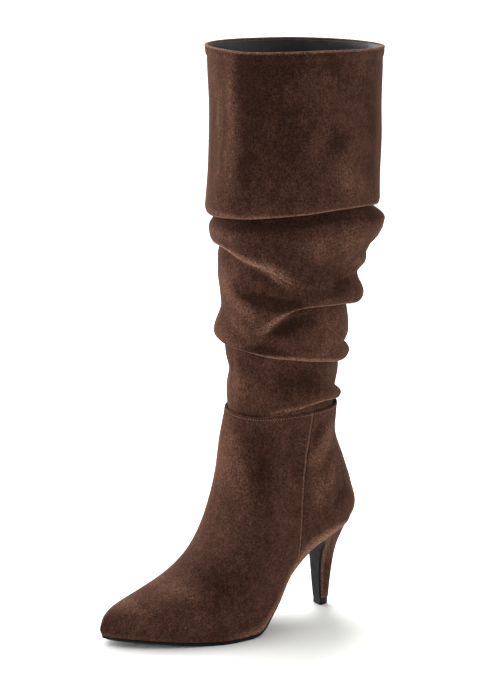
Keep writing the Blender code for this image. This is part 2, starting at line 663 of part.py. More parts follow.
def build_pull(boot, hanger):
    """The pull tab: an eye round the axle and a flat tab that hangs straight down from it."""
    half = PULL_WIDTH / 2 - 0.4
    outline = (
        (-half, -0.1), (-half, -4.0), (-half - 1.2, -9.0), (-half - 1.2, 2.0 - PULL_LENGTH),
        (-half - 0.4, 0.6 - PULL_LENGTH), (-half + 1.0, -PULL_LENGTH),
    )
    outline += tuple((-x, y) for x, y in outline[::-1])
    tab = bmesh.new()
    face = tab.faces.new([tab.verts.new((x, y, -PULL_THICK / 2)) for x, y in outline])
    lifted = bmesh.ops.extrude_face_region(tab, geom=[face])
    moved = [item for item in lifted["geom"] if isinstance(item, bmesh.types.BMVert)]
    bmesh.ops.translate(tab, vec=(0, 0, PULL_THICK), verts=moved)
    bmesh.ops.transform(tab, matrix=hanger, verts=tab.verts)
    bmesh.ops.recalc_face_normals(tab, faces=tab.faces)
    pull = make_object("zip_pull", tab, ZIP_METAL, boot)
    add_boolean(pull, make_object("eye", rod(EYE_RADIUS, PULL_WIDTH, hanger), None, boot), "UNION")
    bore = rod(AXLE_RADIUS + EYE_CLEARANCE, PULL_WIDTH + 2, hanger)
    add_boolean(pull, make_object("eye bore", bore, None, boot), "DIFFERENCE")


def build_zip(boot, line):
    """The closed chain in its slot, the slider at its top, and the pull that swings on the slider."""
    chain = skin_mesh(
        line.strip(ZIP_HALF_WIDTH, ZIP_FOOT, ZIP_TOP, ZIP_PROUD, ZIP_DEPTH), ring_closed=True, caps=True
    )
    make_object("zip_chain", chain, ZIP_COIL, boot)
    point = line.at(ZIP_ALONG, ZIP_TOP - SLIDER_DROP)
    out = line.normal(ZIP_ALONG, ZIP_TOP - SLIDER_DROP)
    across = Vector((0, 0, 1)).cross(out).normalized()
    place = place_at(point, across, out.cross(across), out)
    pivot = Vector((0, 1.5, ZIP_PROUD + GAP + SLIDER_THICK + EYE_RADIUS + GAP))
    build_slider(boot, place, pivot)
    level_out = across.cross(Vector((0, 0, 1)))
    build_pull(boot, place_at(place @ pivot, across, Vector((0, 0, 1)), level_out))


def centre_over_origin(boot):
    """Move the whole boot so that the middle of its box stands on the origin."""
    bpy.context.view_layer.update()
    graph = bpy.context.evaluated_depsgraph_get()
    pieces = [obj.evaluated_get(graph) for obj in boot.children if not obj.hide_render]
    corners = np.array([piece.matrix_world @ Vector(corner) for piece in pieces for corner in piece.bound_box])
    low, high = corners.min(axis=0), corners.max(axis=0)
    boot.location = (-(low[0] + high[0]) / 2, -(low[1] + high[1]) / 2, -low[2])


def main():
    """Build the whole boot and centre it over the origin."""
    for old in list(bpy.data.objects):
        bpy.data.objects.remove(old)
    boot = bpy.data.objects.new("boot_frame", None)
    bpy.context.scene.collection.objects.link(boot)
    build_outsole(boot)
    build_heel(boot)
    build_tip(boot)
    build_insole(boot)
    zip_line = build_upper(boot)
    build_shaft(boot)
    build_zip(boot, zip_line)
    centre_over_origin(boot)


main()
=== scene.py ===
"""The slouch boot as it looks: napped suede, black lining and sole, stitching, covered heel and zip.

Sizes are in millimetres: X counts from the back of the heel towards the toe, Y outwards from the middle
of the foot and Z up from the floor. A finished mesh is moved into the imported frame, in metres.
"""

import json
import logging
import math
from dataclasses import dataclass
from enum import Enum
from typing import NamedTuple, Sequence, Union

import bmesh
import bpy
import numpy as np
from mathutils import Matrix, Vector
from mathutils.bvhtree import BVHTree


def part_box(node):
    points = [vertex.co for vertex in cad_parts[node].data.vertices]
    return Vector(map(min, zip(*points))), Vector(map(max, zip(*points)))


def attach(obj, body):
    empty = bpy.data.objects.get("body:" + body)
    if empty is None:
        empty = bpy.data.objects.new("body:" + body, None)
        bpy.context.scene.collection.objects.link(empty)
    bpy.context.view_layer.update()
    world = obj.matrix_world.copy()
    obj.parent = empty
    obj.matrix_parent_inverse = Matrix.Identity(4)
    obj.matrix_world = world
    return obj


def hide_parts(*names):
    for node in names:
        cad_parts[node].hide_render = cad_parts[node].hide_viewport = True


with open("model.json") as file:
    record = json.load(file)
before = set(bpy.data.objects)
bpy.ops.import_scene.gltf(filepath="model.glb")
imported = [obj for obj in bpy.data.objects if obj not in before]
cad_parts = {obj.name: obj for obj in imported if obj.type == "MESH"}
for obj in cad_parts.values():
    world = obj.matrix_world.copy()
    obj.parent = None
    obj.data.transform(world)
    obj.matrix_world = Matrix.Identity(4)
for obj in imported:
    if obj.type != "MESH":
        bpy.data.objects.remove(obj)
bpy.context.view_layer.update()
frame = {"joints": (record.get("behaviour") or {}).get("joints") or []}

Array = np.ndarray
BMesh = bmesh.types.BMesh
Material = bpy.types.Material
NodeTree = bpy.types.NodeTree
Socket = bpy.types.NodeSocket
Colour = tuple[float, float, float]
Place = tuple[float, float, float]
Feed = Union[Socket, float, tuple]

MM = 0.001
LOG = logging.getLogger("boot")


class Slot(Enum):
    """Material slots of the record."""

    SUEDE = "suede"
    SOLE = "sole"
    TIP = "tip"
    SOCK = "sock"
    COIL = "coil"
    METAL = "metal"


class Body(Enum):
    """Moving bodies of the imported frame."""

    BOOT = "boot"
    PULL = "pull"


class FootSection(NamedTuple):
    """One slanting section of the last, from the sole or heel back up to the ridge of the instep.

    along and top_along are shares of the foot's length, lift of the heel's height, top_rise of the
    ankle's height and all half widths of half the ball's width, outer positive and inner negative.
    girth_at is the share of the way up where the section is widest. A fullness under 1 squares its upper
    part and a cup under 1 its lower part.
    """

    along: float
    lift: float
    outer: float
    inner: float
    top_along: float
    top_rise: float
    swing: float
    girth_outer: float
    girth_inner: float
    girth_at: float
    fullness: float
    cup: float


FOOT_SECTIONS = (
    FootSection(0.987, 0.076, -0.20, -0.20, 0.996, 0.089, -0.20, -0.20, -0.20, 0.40, 1.00, 1.00),
    FootSection(0.976, 0.078, -0.05, -0.34, 0.977, 0.131, -0.20, -0.03, -0.35, 0.40, 1.00, 1.00),
    FootSection(0.947, 0.075, 0.14, -0.49, 0.943, 0.162, -0.20, 0.16, -0.51, 0.38, 1.00, 1.00),
    FootSection(0.902, 0.066, 0.34, -0.63, 0.895, 0.186, -0.18, 0.40, -0.67, 0.36, 1.00, 1.00),
    FootSection(0.840, 0.050, 0.57, -0.77, 0.832, 0.211, -0.17, 0.65, -0.82, 0.34, 1.00, 1.00),
    FootSection(0.767, 0.026, 0.78, -0.88, 0.754, 0.250, -0.15, 0.86, -0.94, 0.32, 1.00, 1.00),
    FootSection(0.688, 0.006, 0.96, -0.91, 0.670, 0.314, -0.12, 1.04, -0.99, 0.31, 1.00, 1.00),
    FootSection(0.596, 0.000, 1.10, -0.85, 0.604, 0.415, -0.10, 1.15, -0.95, 0.30, 1.00, 1.00),
    FootSection(0.502, 0.016, 1.11, -0.71, 0.562, 0.553, -0.07, 1.16, -0.90, 0.30, 1.00, 1.00),
    FootSection(0.406, 0.240, 0.90, -0.55, 0.540, 0.677, -0.05, 1.05, -0.87, 0.31, 1.00, 1.00),
    FootSection(0.318, 0.602, 0.72, -0.51, 0.529, 0.766, -0.02, 0.95, -0.84, 0.32, 0.90, 1.00),
    FootSection(0.231, 0.832, 0.65, -0.59, 0.522, 0.832, 0.00, 0.90, -0.84, 0.33, 0.78, 1.00),
    FootSection(0.138, 0.972, 0.60, -0.59, 0.516, 0.875, 0.00, 0.88, -0.84, 0.34, 0.68, 0.93),
    FootSection(0.056, 1.064, 0.35, -0.35, 0.511, 0.908, 0.00, 0.88, -0.85, 0.35, 0.65, 0.84),
    FootSection(0.017, 1.124, 0.00, 0.00, 0.508, 0.929, 0.00, 0.88, -0.85, 0.36, 0.65, 0.80),
    FootSection(0.000, 1.300, 0.00, 0.00, 0.504, 0.948, 0.00, 0.89, -0.87, 0.38, 0.66, 0.86),
    FootSection(0.015, 1.560, 0.00, 0.00, 0.501, 0.965, 0.00, 0.89, -0.88, 0.41, 0.70, 1.00),
    FootSection(0.046, 1.864, 0.00, 0.00, 0.498, 0.978, 0.00, 0.93, -0.90, 0.44, 0.76, 1.00),
    FootSection(0.086, 2.290, 0.00, 0.00, 0.496, 0.992, 0.00, 0.96, -0.94, 0.47, 0.87, 1.00),
    FootSection(0.080, 2.641, 0.00, 0.00, 0.495, 1.005, 0.00, 1.00, -0.98, 0.50, 1.00, 1.00),
)


class ShaftSection(NamedTuple):
    """The plain tube of the shaft at one height; egg widens it in front and narrows it behind."""

    height: float
    centre: float
    half_depth: float
    half_width: float
    egg: float


SHAFT_SECTIONS = (
    ShaftSection(485.0, 54.2, 75.4, 66.5, 0.12),
    ShaftSection(420.0, 53.6, 68.8, 61.4, 0.08),
    ShaftSection(350.0, 57.0, 64.2, 57.2, 0.03),
    ShaftSection(320.0, 59.0, 61.5, 55.5, 0.00),
    ShaftSection(296.0, 62.0, 58.5, 52.5, 0.00),
    ShaftSection(270.0, 66.2, 53.6, 48.5, 0.00),
    ShaftSection(237.0, 66.6, 50.5, 45.0, 0.00),
    ShaftSection(215.0, 67.0, 46.5, 41.0, 0.00),
    ShaftSection(198.0, 68.6, 46.3, 39.6, 0.00),
    ShaftSection(184.0, 70.2, 45.2, 36.6, 0.00),
    ShaftSection(174.0, 70.0, 43.2, 33.4, 0.00),
)


class Fold(NamedTuple):
    """One roll of the shaft: its lower lip, how far it stands out, and its shape.

    Each long row has 16 values at even steps round the shaft, from the front towards the outer side.
    sharp runs from 0, where the roll fades into the next, to 1, where it overhangs. crown is the share
    of the way down where it is fullest, lip the share of fullness left at the lip, droop how far the
    lip hangs, tuck how deep the cloth starts again below it, rings how many rows its face gets and worn
    how much paler its lip is: partly rubbed nap and partly a painted highlight.
    """

    name: str
    lip_height: tuple[float, ...]
    bulge: tuple[float, ...]
    sharp: tuple[float, ...]
    crown: tuple[float, ...]
    lip: float
    droop: float
    tuck: float
    rings: int
    worn: float


FOLDS = (
    Fold(
        "cuff",
        (347.5, 349, 351.5, 353.5, 355, 355.8, 353.8, 351, 348.6, 348, 347, 346.3, 346, 346.2, 346.6, 347),
        (10.5, 10.3, 10, 9.7, 9.5, 9.2, 9, 9, 9, 9.2, 9.5, 9.5, 9.5, 9.8, 10.5, 10.6),
        (1.0,) * 16,
        (0.95,) * 16,
        0.72, 2.0, 1.5, 42, 0.65,
    ),
    Fold(
        "upper roll",
        (321.5, 314, 305, 293, 290, 297, 299, 298, 301, 304, 307, 311, 315, 318, 320.5, 323),
        (9, 8.6, 8, 7.5, 9, 12.4, 15.6, 15.8, 14.5, 12, 9.5, 8, 7, 7.3, 8, 8.8),
        (1, 1, 0.8, 0.1, 0, 0, 0.05, 0.1, 0.4, 0.7, 0.9, 0.9, 0.9, 1, 1, 1),
        (0.48, 0.46, 0.42, 0.36, 0.32, 0.26, 0.24, 0.24, 0.25, 0.32, 0.38, 0.42, 0.46, 0.48, 0.50, 0.50),
        0.45, 1.6, 1.5, 14, 1.0,
    ),
    Fold(
        "middle roll",
        (266, 250, 260, 273, 276.5, 275, 272.5, 271, 271, 269, 268, 268, 270, 274, 277, 274),
        (1.8, 1.2, 3.4, 5.2, 6.5, 9.0, 11.8, 11.4, 9.5, 7, 5.5, 4, 3, 2.4, 2.6, 2.6),
        (0, 0, 0.35, 0.8, 1, 1, 1, 1, 1, 0.9, 0.8, 0.6, 0.4, 0.2, 0, 0),
        (0.36, 0.56, 0.72, 0.78, 0.78, 0.78, 0.80, 0.78, 0.72, 0.68, 0.66, 0.66, 0.62, 0.46, 0.28, 0.26),
        0.62, 2.0, 1.5, 14, 0.7,
    ),
    Fold(
        "lower pleat",
        (264, 248.5, 258.5, 266, 265, 252, 240, 237.5, 239, 247, 256, 262, 266, 271, 275, 272),
        (0, 0, 0, 0.3, 1, 2.6, 4, 4.2, 4, 3, 2, 1, 0, 0, 0, 0),
        (0, 0, 0, 0, 0.1, 0.2, 0.5, 0.8, 0.8, 0.5, 0.3, 0.1, 0, 0, 0, 0),
        (0.60, 0.60, 0.60, 0.60, 0.62, 0.68, 0.72, 0.72, 0.72, 0.66, 0.60, 0.60, 0.60, 0.60, 0.60, 0.60),
        0.30, 0.8, 0.3, 9, 0.6,
    ),
    Fold(
        "lower roll",
        (241, 238.3, 235.5, 232, 229, 226.5, 224, 222, 221, 223.5, 227, 231, 234, 236, 239, 243),
        (8, 7, 6.5, 5.8, 5.5, 6.2, 7.4, 7.4, 6.8, 6.2, 6, 6.2, 6.5, 7, 8, 8.3),
        (1, 1, 1, 1, 1, 1, 1, 1, 0.9, 0.9, 0.9, 0.9, 0.9, 0.9, 1, 1),
        (0.76, 0.70, 0.66, 0.66, 0.68, 0.64, 0.58, 0.58, 0.58, 0.58, 0.60, 0.60, 0.62, 0.68, 0.76, 0.78),
        0.55, 2.0, 1.4, 13, 0.7,
    ),
    Fold(
        "ankle pleat",
        (238.5, 236, 233, 228, 222, 212, 202, 200, 200, 208, 217, 225, 231, 233.5, 236.5, 240.5),
        (0, 0, 0, 0.1, 0.3, 0.8, 1.4, 1.4, 1.2, 0.8, 0.5, 0.2, 0, 0, 0, 0),
        (0, 0, 0, 0, 0.1, 0.2, 0.3, 0.3, 0.3, 0.2, 0.1, 0, 0, 0, 0, 0),
        (0.40, 0.40, 0.40, 0.40, 0.40, 0.34, 0.30, 0.30, 0.30, 0.34, 0.40, 0.40, 0.40, 0.40, 0.40, 0.40),
        0.20, 0.3, 0.2, 8, 0.6,
    ),
    Fold(
        "ankle roll",
        (180.5, 180.5, 182.5, 187, 190, 192.5, 190.5, 189.5, 191, 190.5, 189, 187, 185, 183, 181, 180.5),
        (1.8, 1.0, 1.2, 2.8, 4.5, 6, 6.8, 6.6, 6, 5, 4, 3, 2.2, 2.2, 2.4, 2.4),
        (0.3, 0.3, 0.6, 0.9, 1, 1, 1, 1, 0.9, 0.8, 0.7, 0.6, 0.5, 0.4, 0.3, 0.3),
        (0.50, 0.60, 0.70, 0.71, 0.72, 0.68, 0.62, 0.62, 0.64, 0.67, 0.70, 0.70, 0.66, 0.56, 0.46, 0.44),
        0.70, 0.6, 1.0, 13, 0.6,
    ),
)
# How far the rim lies below the top of the shaft, at 16 even steps round it
RIM_DROP = (1.3, 2.9, 2.6, 2.2, 2.2, 2.7, 2.8, 2.8, 2.4, 1.5, 0.6, 0, 0, 0, 0.2, 0.5)
# How far the side that faces out and forwards is flattened: its share round the shaft, and its depth
FLAT_SIDE = (-0.12, 0.15, 0.70, 1.0, 0.95, 0.6, 0.2, 0, 0, 0, 0, 0, 0, 0, 0, -0.08)
FLAT_HEIGHTS = ((174.0, 0.0), (200.0, 2.0), (300.0, 3.0), (356.0, 4.0), (420.0, 7.0), (485.0, 9.0))

# Section of the folded rim from inside to the end of its hem: height over the rim and stand off the tube
RIM_PROFILE = (
    (-1.8, -1.9), (-0.9, -1.9), (-0.35, -1.75), (-0.05, -1.3), (0.0, -0.6), (-0.02, 0.0),
    (-0.25, 0.5), (-0.7, 0.80), (-1.2, 0.85), (-1.8, 0.72), (-2.3, 0.52), (-2.9, 0.70),
    (-5.0, 0.85), (-6.6, 0.85), (-7.8, 0.75), (-8.6, 0.35), (-9.2, 0.0),
)


class Crease(NamedTuple):
    """A soft ridge, or a trough where rise is negative, along points of two surface coordinates.

    On the shaft a point is an angle in degrees and a height, on the foot part X and a height.
    """

    path: tuple[tuple[float, float], ...]
    width: float
    rise: float


# Soft ridges and troughs of the slack suede, in millimetres
SHAFT_CREASES = (
    Crease(((31, 248), (37, 253), (43, 259), (52, 266), (62, 271)), 4.5, 2.6),
    Crease(((34, 240), (44, 248), (54, 256), (66, 264), (80, 268)), 6.0, -2.0),
    Crease(((20, 309), (32, 304), (44, 297), (56, 290), (68, 286)), 5.5, -2.4),
    Crease(((44, 307), (54, 300), (64, 294), (76, 291)), 4.0, 1.6),
    Crease(((346, 302), (6, 288), (20, 277), (36, 266)), 10.0, 1.8),
    Crease(((84, 346), (96, 326), (106, 306), (112, 292)), 9.0, -1.3),
    Crease(((104, 340), (114, 322), (122, 306)), 6.0, 1.2),
    Crease(((112, 311), (132, 307), (150, 305), (172, 307)), 5.0, 3.6),
    Crease(((112, 324), (132, 320), (150, 318), (172, 320)), 6.0, -2.4),
    Crease(((70, 240), (84, 244), (98, 250)), 6.0, -1.0),
    Crease(((96, 250), (110, 247), (122, 243)), 5.0, 1.0),
    Crease(((10, 230), (9, 214), (14, 200)), 7.0, 0.9),
    Crease(((15, 233), (18, 225), (16, 217)), 1.4, -0.5),
    Crease(((310, 218), (326, 217), (340, 216), (354, 215)), 9.0, -2.4),
    Crease(((30, 224), (40, 212), (44, 198)), 9.0, -0.9),
    Crease(((62, 222), (70, 208), (72, 197)), 7.0, 0.8),
    Crease(((352, 470), (356, 430), (352, 390), (350, 362)), 9.0, -0.9),
    Crease(((12, 474), (13, 420), (12, 362)), 7.0, 1.2),
    Crease(((112, 440), (116, 410), (120, 370)), 10.0, -0.9),
    Crease(((140, 470), (142, 430), (138, 390), (144, 364)), 8.0, -0.8),
    Crease(((200, 462), (204, 420), (198, 372)), 11.0, -1.0),
    Crease(((250, 470), (246, 430), (252, 380)), 10.0, 0.9),
    Crease(((292, 455), (298, 410), (290, 366)), 11.0, -0.9),
    Crease(((196, 340), (210, 326), (226, 316)), 8.0, -1.6),
    Crease(((236, 338), (256, 328), (278, 326), (300, 330)), 7.0, 1.5),
    Crease(((224, 296), (244, 288), (266, 290)), 6.0, -1.8),
    Crease(((270, 304), (292, 296), (318, 292), (340, 294)), 6.0, 1.6),
    Crease(((204, 254), (222, 246), (244, 246), (262, 252)), 5.0, 1.8),
    Crease(((266, 258), (288, 250), (312, 252)), 6.0, -1.6),
    Crease(((214, 210), (236, 206), (258, 212), (280, 220)), 6.0, 1.2),
    Crease(((282, 214), (304, 206), (326, 208)), 7.0, -1.0),
)


class Patch(NamedTuple):
    """A soft patch of painted light, or of painted shade where tone is negative, partly also the nap's own
    tone.

    first and second are its middle, in the same two surface coordinates as a crease. across and tall are
    its reach along each of them.
    """

    first: float
    second: float
    across: float
    tall: float
    tone: float


# Painted highlights along the lips and ridges of the folds, and painted shade below them: rise is a tone here
SHAFT_PAINTED_SHADING = (
    Crease(
        ((332, 323), (350, 323), (4, 321), (20, 314.5), (33, 309.5), (42, 305), (51, 299), (58, 294.5)),
        2.6, 1.25,
    ),
    Crease(((42, 304), (48, 300), (54, 296.5), (60, 293), (68, 289.5)), 2.0, 0.35),
    Crease(((24, 289), (38, 283), (50, 279), (64, 276.5), (84, 276)), 5.5, -0.85),
    Crease(((350, 294), (4, 286), (18, 277), (30, 269), (40, 262)), 4.0, 0.34),
    Crease(((358, 296), (12, 289), (26, 282), (38, 275)), 3.2, -0.45),
    Crease(((9, 520), (11, 440), (13, 400), (12, 336)), 5.0, 0.26),
    Crease(((21, 520), (22, 440), (23, 400), (22, 336)), 5.0, -0.28),
    Crease(((348, 470), (350, 440), (347, 400), (350, 362)), 2.0, -0.35),
    Crease(((358, 460), (356, 425), (359, 390), (356, 364)), 1.8, 0.25),
    Crease(((4, 468), (5, 430), (3, 395), (5, 366)), 1.8, -0.28),
    Crease(((35, 250.5), (41, 256), (47, 262), (54, 266.5), (64, 272), (74, 275)), 2.6, 1.1),
    Crease(((46, 250), (54, 255), (64, 261), (78, 266), (98, 268)), 5.0, -0.6),
    Crease(((334, 353), (352, 351.5), (12, 350.5), (34, 352), (52, 353.5)), 2.2, 0.4),
    Crease(((326, 342), (350, 341), (20, 341), (50, 344), (84, 348), (120, 350)), 4.0, -0.6),
    Crease(((20, 244), (40, 241), (62, 237), (84, 233)), 3.0, -0.35),
    Crease(((44, 184), (62, 188), (84, 191), (104, 193.5), (124, 193)), 2.6, 0.3),
    Crease(((100, 312), (116, 310), (134, 308)), 3.0, 0.35),
    Crease(((98, 296), (112, 294), (128, 293)), 4.0, -0.4),
)
# Patches of painted light and shade on the shaft, partly the nap's own tone
SHAFT_SHADING_PATCHES = (
    Patch(8, 425, 8, 80, 0.14),
    Patch(352, 425, 10, 80, 0.20),
    Patch(33, 422, 13, 65, -0.34),
    Patch(56, 425, 18, 55, -0.30),
    Patch(20, 470, 20, 14, -0.20),
    Patch(60, 473, 34, 12, -0.25),
    Patch(73, 408, 7, 12, 0.48),
    Patch(91, 409, 8, 12, -0.58),
    Patch(98, 380, 14, 17, 0.58),
    Patch(119, 406, 5, 12, 0.25),
    Patch(86, 445, 16, 22, -0.12),
    Patch(126, 410, 10, 60, -0.38),
    Patch(6, 334, 16, 11, 0.55),
    Patch(2, 326, 10, 5, -0.30),
    Patch(96, 320, 18, 16, 0.22),
    Patch(126, 345, 14, 6, -0.45),
    Patch(50, 328, 18, 12, -0.20),
    Patch(56, 279, 20, 6, -0.60),
    Patch(3, 288, 14, 24, 0.65),
    Patch(24, 272, 16, 9, 0.45),
    Patch(14, 281, 8, 5, -0.35),
    Patch(72, 257, 14, 10, -0.35),
    Patch(104, 250, 13, 12, 0.40),
    Patch(40, 241, 14, 5, -0.60),
    Patch(12, 252, 22, 12, 0.85),
    Patch(6, 208, 16, 20, 0.60),
    Patch(38, 203, 9, 8, 0.25),
    Patch(74, 210, 22, 13, -0.60),
    Patch(200, 420, 30, 50, -0.20),
    Patch(270, 400, 26, 46, 0.25),
    Patch(230, 330, 24, 16, 0.25),
    Patch(290, 270, 26, 18, -0.25),
    Patch(240, 215, 24, 14, 0.20),
)

# Patches of painted light and shade, partly the nap's own tone, painted highlights and shade along the dents,
# and the soft dents of the foot part
FOOT_SHADING_PATCHES = (
    Patch(104, 138, 9, 28, -0.40),
    Patch(124, 142, 7, 42, 0.65),
    Patch(143, 97, 8, 20, 0.55),
    Patch(160, 70, 14, 10, 0.45),
    Patch(188, 47, 14, 7, 0.30),
    Patch(218, 33, 12, 5, 0.35),
    Patch(44, 126, 15, 28, 0.56),
    Patch(55, 112, 6, 14, 0.50),
    Patch(30, 105, 8, 13, -0.50),
    Patch(86, 90, 12, 20, 0.18),
    Patch(140, 52, 26, 15, -0.34),
    Patch(172, 41, 12, 9, 0.35),
    Patch(128, 70, 16, 12, -0.15),
    Patch(175, 18, 30, 9, 0.17),
    Patch(206, 26, 12, 8, 0.15),
)
FOOT_PAINTED_SHADING = (
    Crease(((36, 177), (40, 170), (46, 160), (54, 149), (61, 140), (67, 129)), 4.2, 1.1),
    Crease(((52, 178), (57, 168), (62, 156)), 4.5, -0.5),
    Crease(((36, 152), (42, 143), (50, 132), (56, 122)), 5.0, -0.5),
)
FOOT_DENTS = (
    Crease(((36, 177), (40, 170), (46, 160), (54, 149), (61, 140), (67, 129)), 5.5, 1.8),
    Crease(((50, 179), (56, 168), (62, 156)), 5.0, -1.4),
    Crease(((32, 172), (30, 158), (30, 146)), 6.0, -0.8),
)


class HeelSection(NamedTuple):
    """One slice of the heel from the seat down to the tip, measured to the face of the breast."""

    breast: float
    breast_z: float
    back: float
    back_z: float
    half_width: float
    middle: float


HEEL_SECTIONS = (
    HeelSection(35.4, 67.8, 3.6, 79.4, 21.2, 0.0),
    HeelSection(35.2, 59.5, 9.2, 66.8, 16.0, 0.6),
    HeelSection(35.1, 50.0, 14.0, 54.0, 10.4, 1.2),
    HeelSection(34.9, 40.0, 16.7, 42.5, 8.0, 1.3),
    HeelSection(34.2, 28.0, 18.4, 29.5, 6.9, 0.8),
    HeelSection(33.0, 16.0, 19.6, 16.8, 6.2, 0.3),
    HeelSection(32.0, 6.4, 20.6, 6.4, 5.7, 0.0),
)

# Thickness of the sole where it covers the heel's breast, and the gap between pieces that meet
HEEL_FLAP = 1.8
GAP = 0.35

# How far from a seam its distance is still told
SEAM_REACH = 20.0


def smooth(column: Sequence[float], places: Array) -> Array:
    """Read a column of a table at fractional row numbers, on a cubic that never overshoots its rows.

    Args:
        column: The values of the column, one for each row.
        places: Row numbers, of any shape.

    Returns:
        The values at those places.
    """
    values = np.asarray(column, float)
    slopes = np.diff(values)
    tangents = np.zeros_like(values)
    tangents[0], tangents[-1] = slopes[0], slopes[-1]
    for i in range(1, len(values) - 1):
        before, after = slopes[i - 1], slopes[i]
        if before * after > 0:
            tangents[i] = 2 * before * after / (before + after)
    row = np.clip(np.floor(places).astype(int), 0, len(values) - 2)
    u = places - row
    return (
        (1 + 2 * u) * (1 - u) ** 2 * values[row]
        + u * (1 - u) ** 2 * tangents[row]
        + u * u * (3 - 2 * u) * values[row + 1]
        + u * u * (u - 1) * tangents[row + 1]
    )


def around(ring: Sequence[float], angles: Array) -> Array:
    """Read values given at even steps round the shaft at any angles.

    Args:
        ring: The values, from the front towards the outer side.
        angles: Angles in radians.

    Returns:
        The values at those angles, on a closed smooth curve.
    """
    values = np.asarray(ring, float)
    count = len(values)
    place = (np.asarray(angles) / (2 * math.pi) * count) % count
    i = np.floor(place).astype(int)
    u = place - i
    before, here, after, beyond = (values[(i + k) % count] for k in (-1, 0, 1, 2))
    return here + 0.5 * u * (
        after - before
        + u * (2 * before - 5 * here + 4 * after - beyond + u * (3 * (here - after) + beyond - before))
    )


def ease(value: Array | float) -> Array:
    """A soft step from 0 to 1."""
    inside = np.clip(value, 0.0, 1.0)
    return inside * inside * (3.0 - 2.0 * inside)


def bearing(angle: Array | float, middle: float) -> Array | float:
    """Angle past a middle direction in degrees, from -180 to 180."""
    return (angle - middle + 180.0) % 360.0 - 180.0


def crease_lift(creases: Sequence[Crease], first: Array, second: Array) -> Array:
    """How far a set of creases moves each point of a skin outwards.

    Args:
        creases: Ridges and troughs, in the same coordinates as the points.
        first: First surface coordinate of each point, in millimetres along the skin.
        second: Second surface coordinate of each point, in millimetres.

    Returns:
        The move of each point in millimetres.
    """
    total = np.zeros_like(first)
    for crease in creases:
        path = np.array(crease.path, float)
        steps = np.linalg.norm(np.diff(path, axis=0), axis=1)
        starts = np.concatenate([[0.0], np.cumsum(steps)])
        nearest = np.full_like(first, 1e9)
        share = np.zeros_like(first)
        for (x0, z0), (x1, z1), begin, step in zip(path, path[1:], starts, steps):
            t = ((first - x0) * (x1 - x0) + (second - z0) * (z1 - z0)) / step**2
            t = np.clip(t, 0.0, 1.0)
            away = np.hypot(first - x0 - t * (x1 - x0), second - z0 - t * (z1 - z0))
            closer = away < nearest
            nearest = np.where(closer, away, nearest)
            share = np.where(closer, (begin + t * step) / starts[-1], share)
        fade = ease(share / 0.3) * ease((1.0 - share) / 0.3)
        total += crease.rise * fade * np.exp(-((nearest / crease.width) ** 2))
    return total


def patch_tone(patches: Sequence[Patch], first: Array, second: Array, turn: bool) -> Array:
    """Sum of the patches of painted light and shade, partly the nap's own tone, at each point of a skin.

    Args:
        patches: The patches, in the same coordinates as the points.
        first: First surface coordinate of each point.
        second: Second surface coordinate of each point.
        turn: Whether the first coordinate is an angle in degrees that runs round.

    Returns:
        The tone of each point, about -1 to 1.
    """
    total = np.zeros_like(first)
    for patch in patches:
        over = first - patch.first
        if turn:
            over = bearing(over, 0.0)
        spread = (over / patch.across) ** 2 + ((second - patch.second) / patch.tall) ** 2
        total += patch.tone * np.exp(-spread)
    return total


def skin(points: Array, closed: bool, marks: dict[str, Array] | None = None) -> BMesh:
    """Lay a grid of faces over rows of points.

    Args:
        points: Rows by columns by three coordinates.
        closed: Whether the last column joins the first.
        marks: Values for named vertex attributes, rows by columns each.

    Returns:
        The skin as a bmesh, with equal points merged and its faces turned the same way.
    """
    rows, columns = points.shape[:2]
    across = columns if closed else columns - 1
    bm = bmesh.new()
    bmesh.ops.create_grid(bm, x_segments=across, y_segments=rows - 1, size=0.5)
    layers = {name: bm.verts.layers.float.new(name) for name in marks or {}}
    for vert in bm.verts:
        column = round((vert.co.x + 0.5) * across) % columns
        row = round((vert.co.y + 0.5) * (rows - 1))
        vert.co = points[row, column]
        for name, layer in layers.items():
            vert[layer] = marks[name][row, column]
    bmesh.ops.remove_doubles(bm, verts=bm.verts, dist=0.002)
    bmesh.ops.recalc_face_normals(bm, faces=bm.faces)
    return bm


def face_from(bm: BMesh, core: Sequence[float], inwards: bool = False) -> None:
    """Turn all faces of an open skin away from a point inside it, or towards that point."""
    middle = Vector(core)
    score = sum(face.normal.dot(face.calc_center_median() - middle) for face in bm.faces)
    if (score < 0) != inwards:
        bmesh.ops.reverse_faces(bm, faces=bm.faces)


def close_ends(bm: BMesh) -> None:
    """Fill the open ends of a tube and turn its faces outwards."""
    rims = [edge for edge in bm.edges if edge.is_boundary]
    bmesh.ops.holes_fill(bm, edges=rims, sides=0)
    bmesh.ops.recalc_face_normals(bm, faces=bm.faces)


def even_steps(points: Array, pitch: float, closed: bool) -> Array:
    """Points at an even pitch along a line of points.

    Args:
        points: Points of the line.
        pitch: Distance between neighbours in millimetres, rounded so that they fit.
        closed: Whether the line comes back to its start.

    Returns:
        The evenly spaced points.
    """
    line = np.vstack([points, points[:1]]) if closed else points
    runs = np.concatenate([[0.0], np.cumsum(np.linalg.norm(np.diff(line, axis=0), axis=1))])
    count = max(2, round(runs[-1] / pitch))
    places = np.arange(count) / count * runs[-1] if closed else np.linspace(0, runs[-1], count)
    return np.stack([np.interp(places, runs, line[:, k]) for k in range(3)], axis=1)


def soften(bm: BMesh, edges: Sequence[bmesh.types.BMEdge], width: float, segments: int) -> None:
    """Round some edges of a mesh.

    Args:
        bm: The mesh.
        edges: The edges to round.
        width: Width of the rounding in millimetres.
        segments: Number of faces across it.
    """
    bmesh.ops.bevel(
        bm, geom=edges, offset=width, offset_type="OFFSET", segments=segments, profile=0.5,
        affect="EDGES", material=-1,
    )


def steep_edges(edges: Sequence[bmesh.types.BMEdge], degrees: float) -> list[bmesh.types.BMEdge]:
    """The edges whose faces meet at more than an angle."""
    return [edge for edge in edges if edge.calc_face_angle(0.0) > math.radians(degrees)]


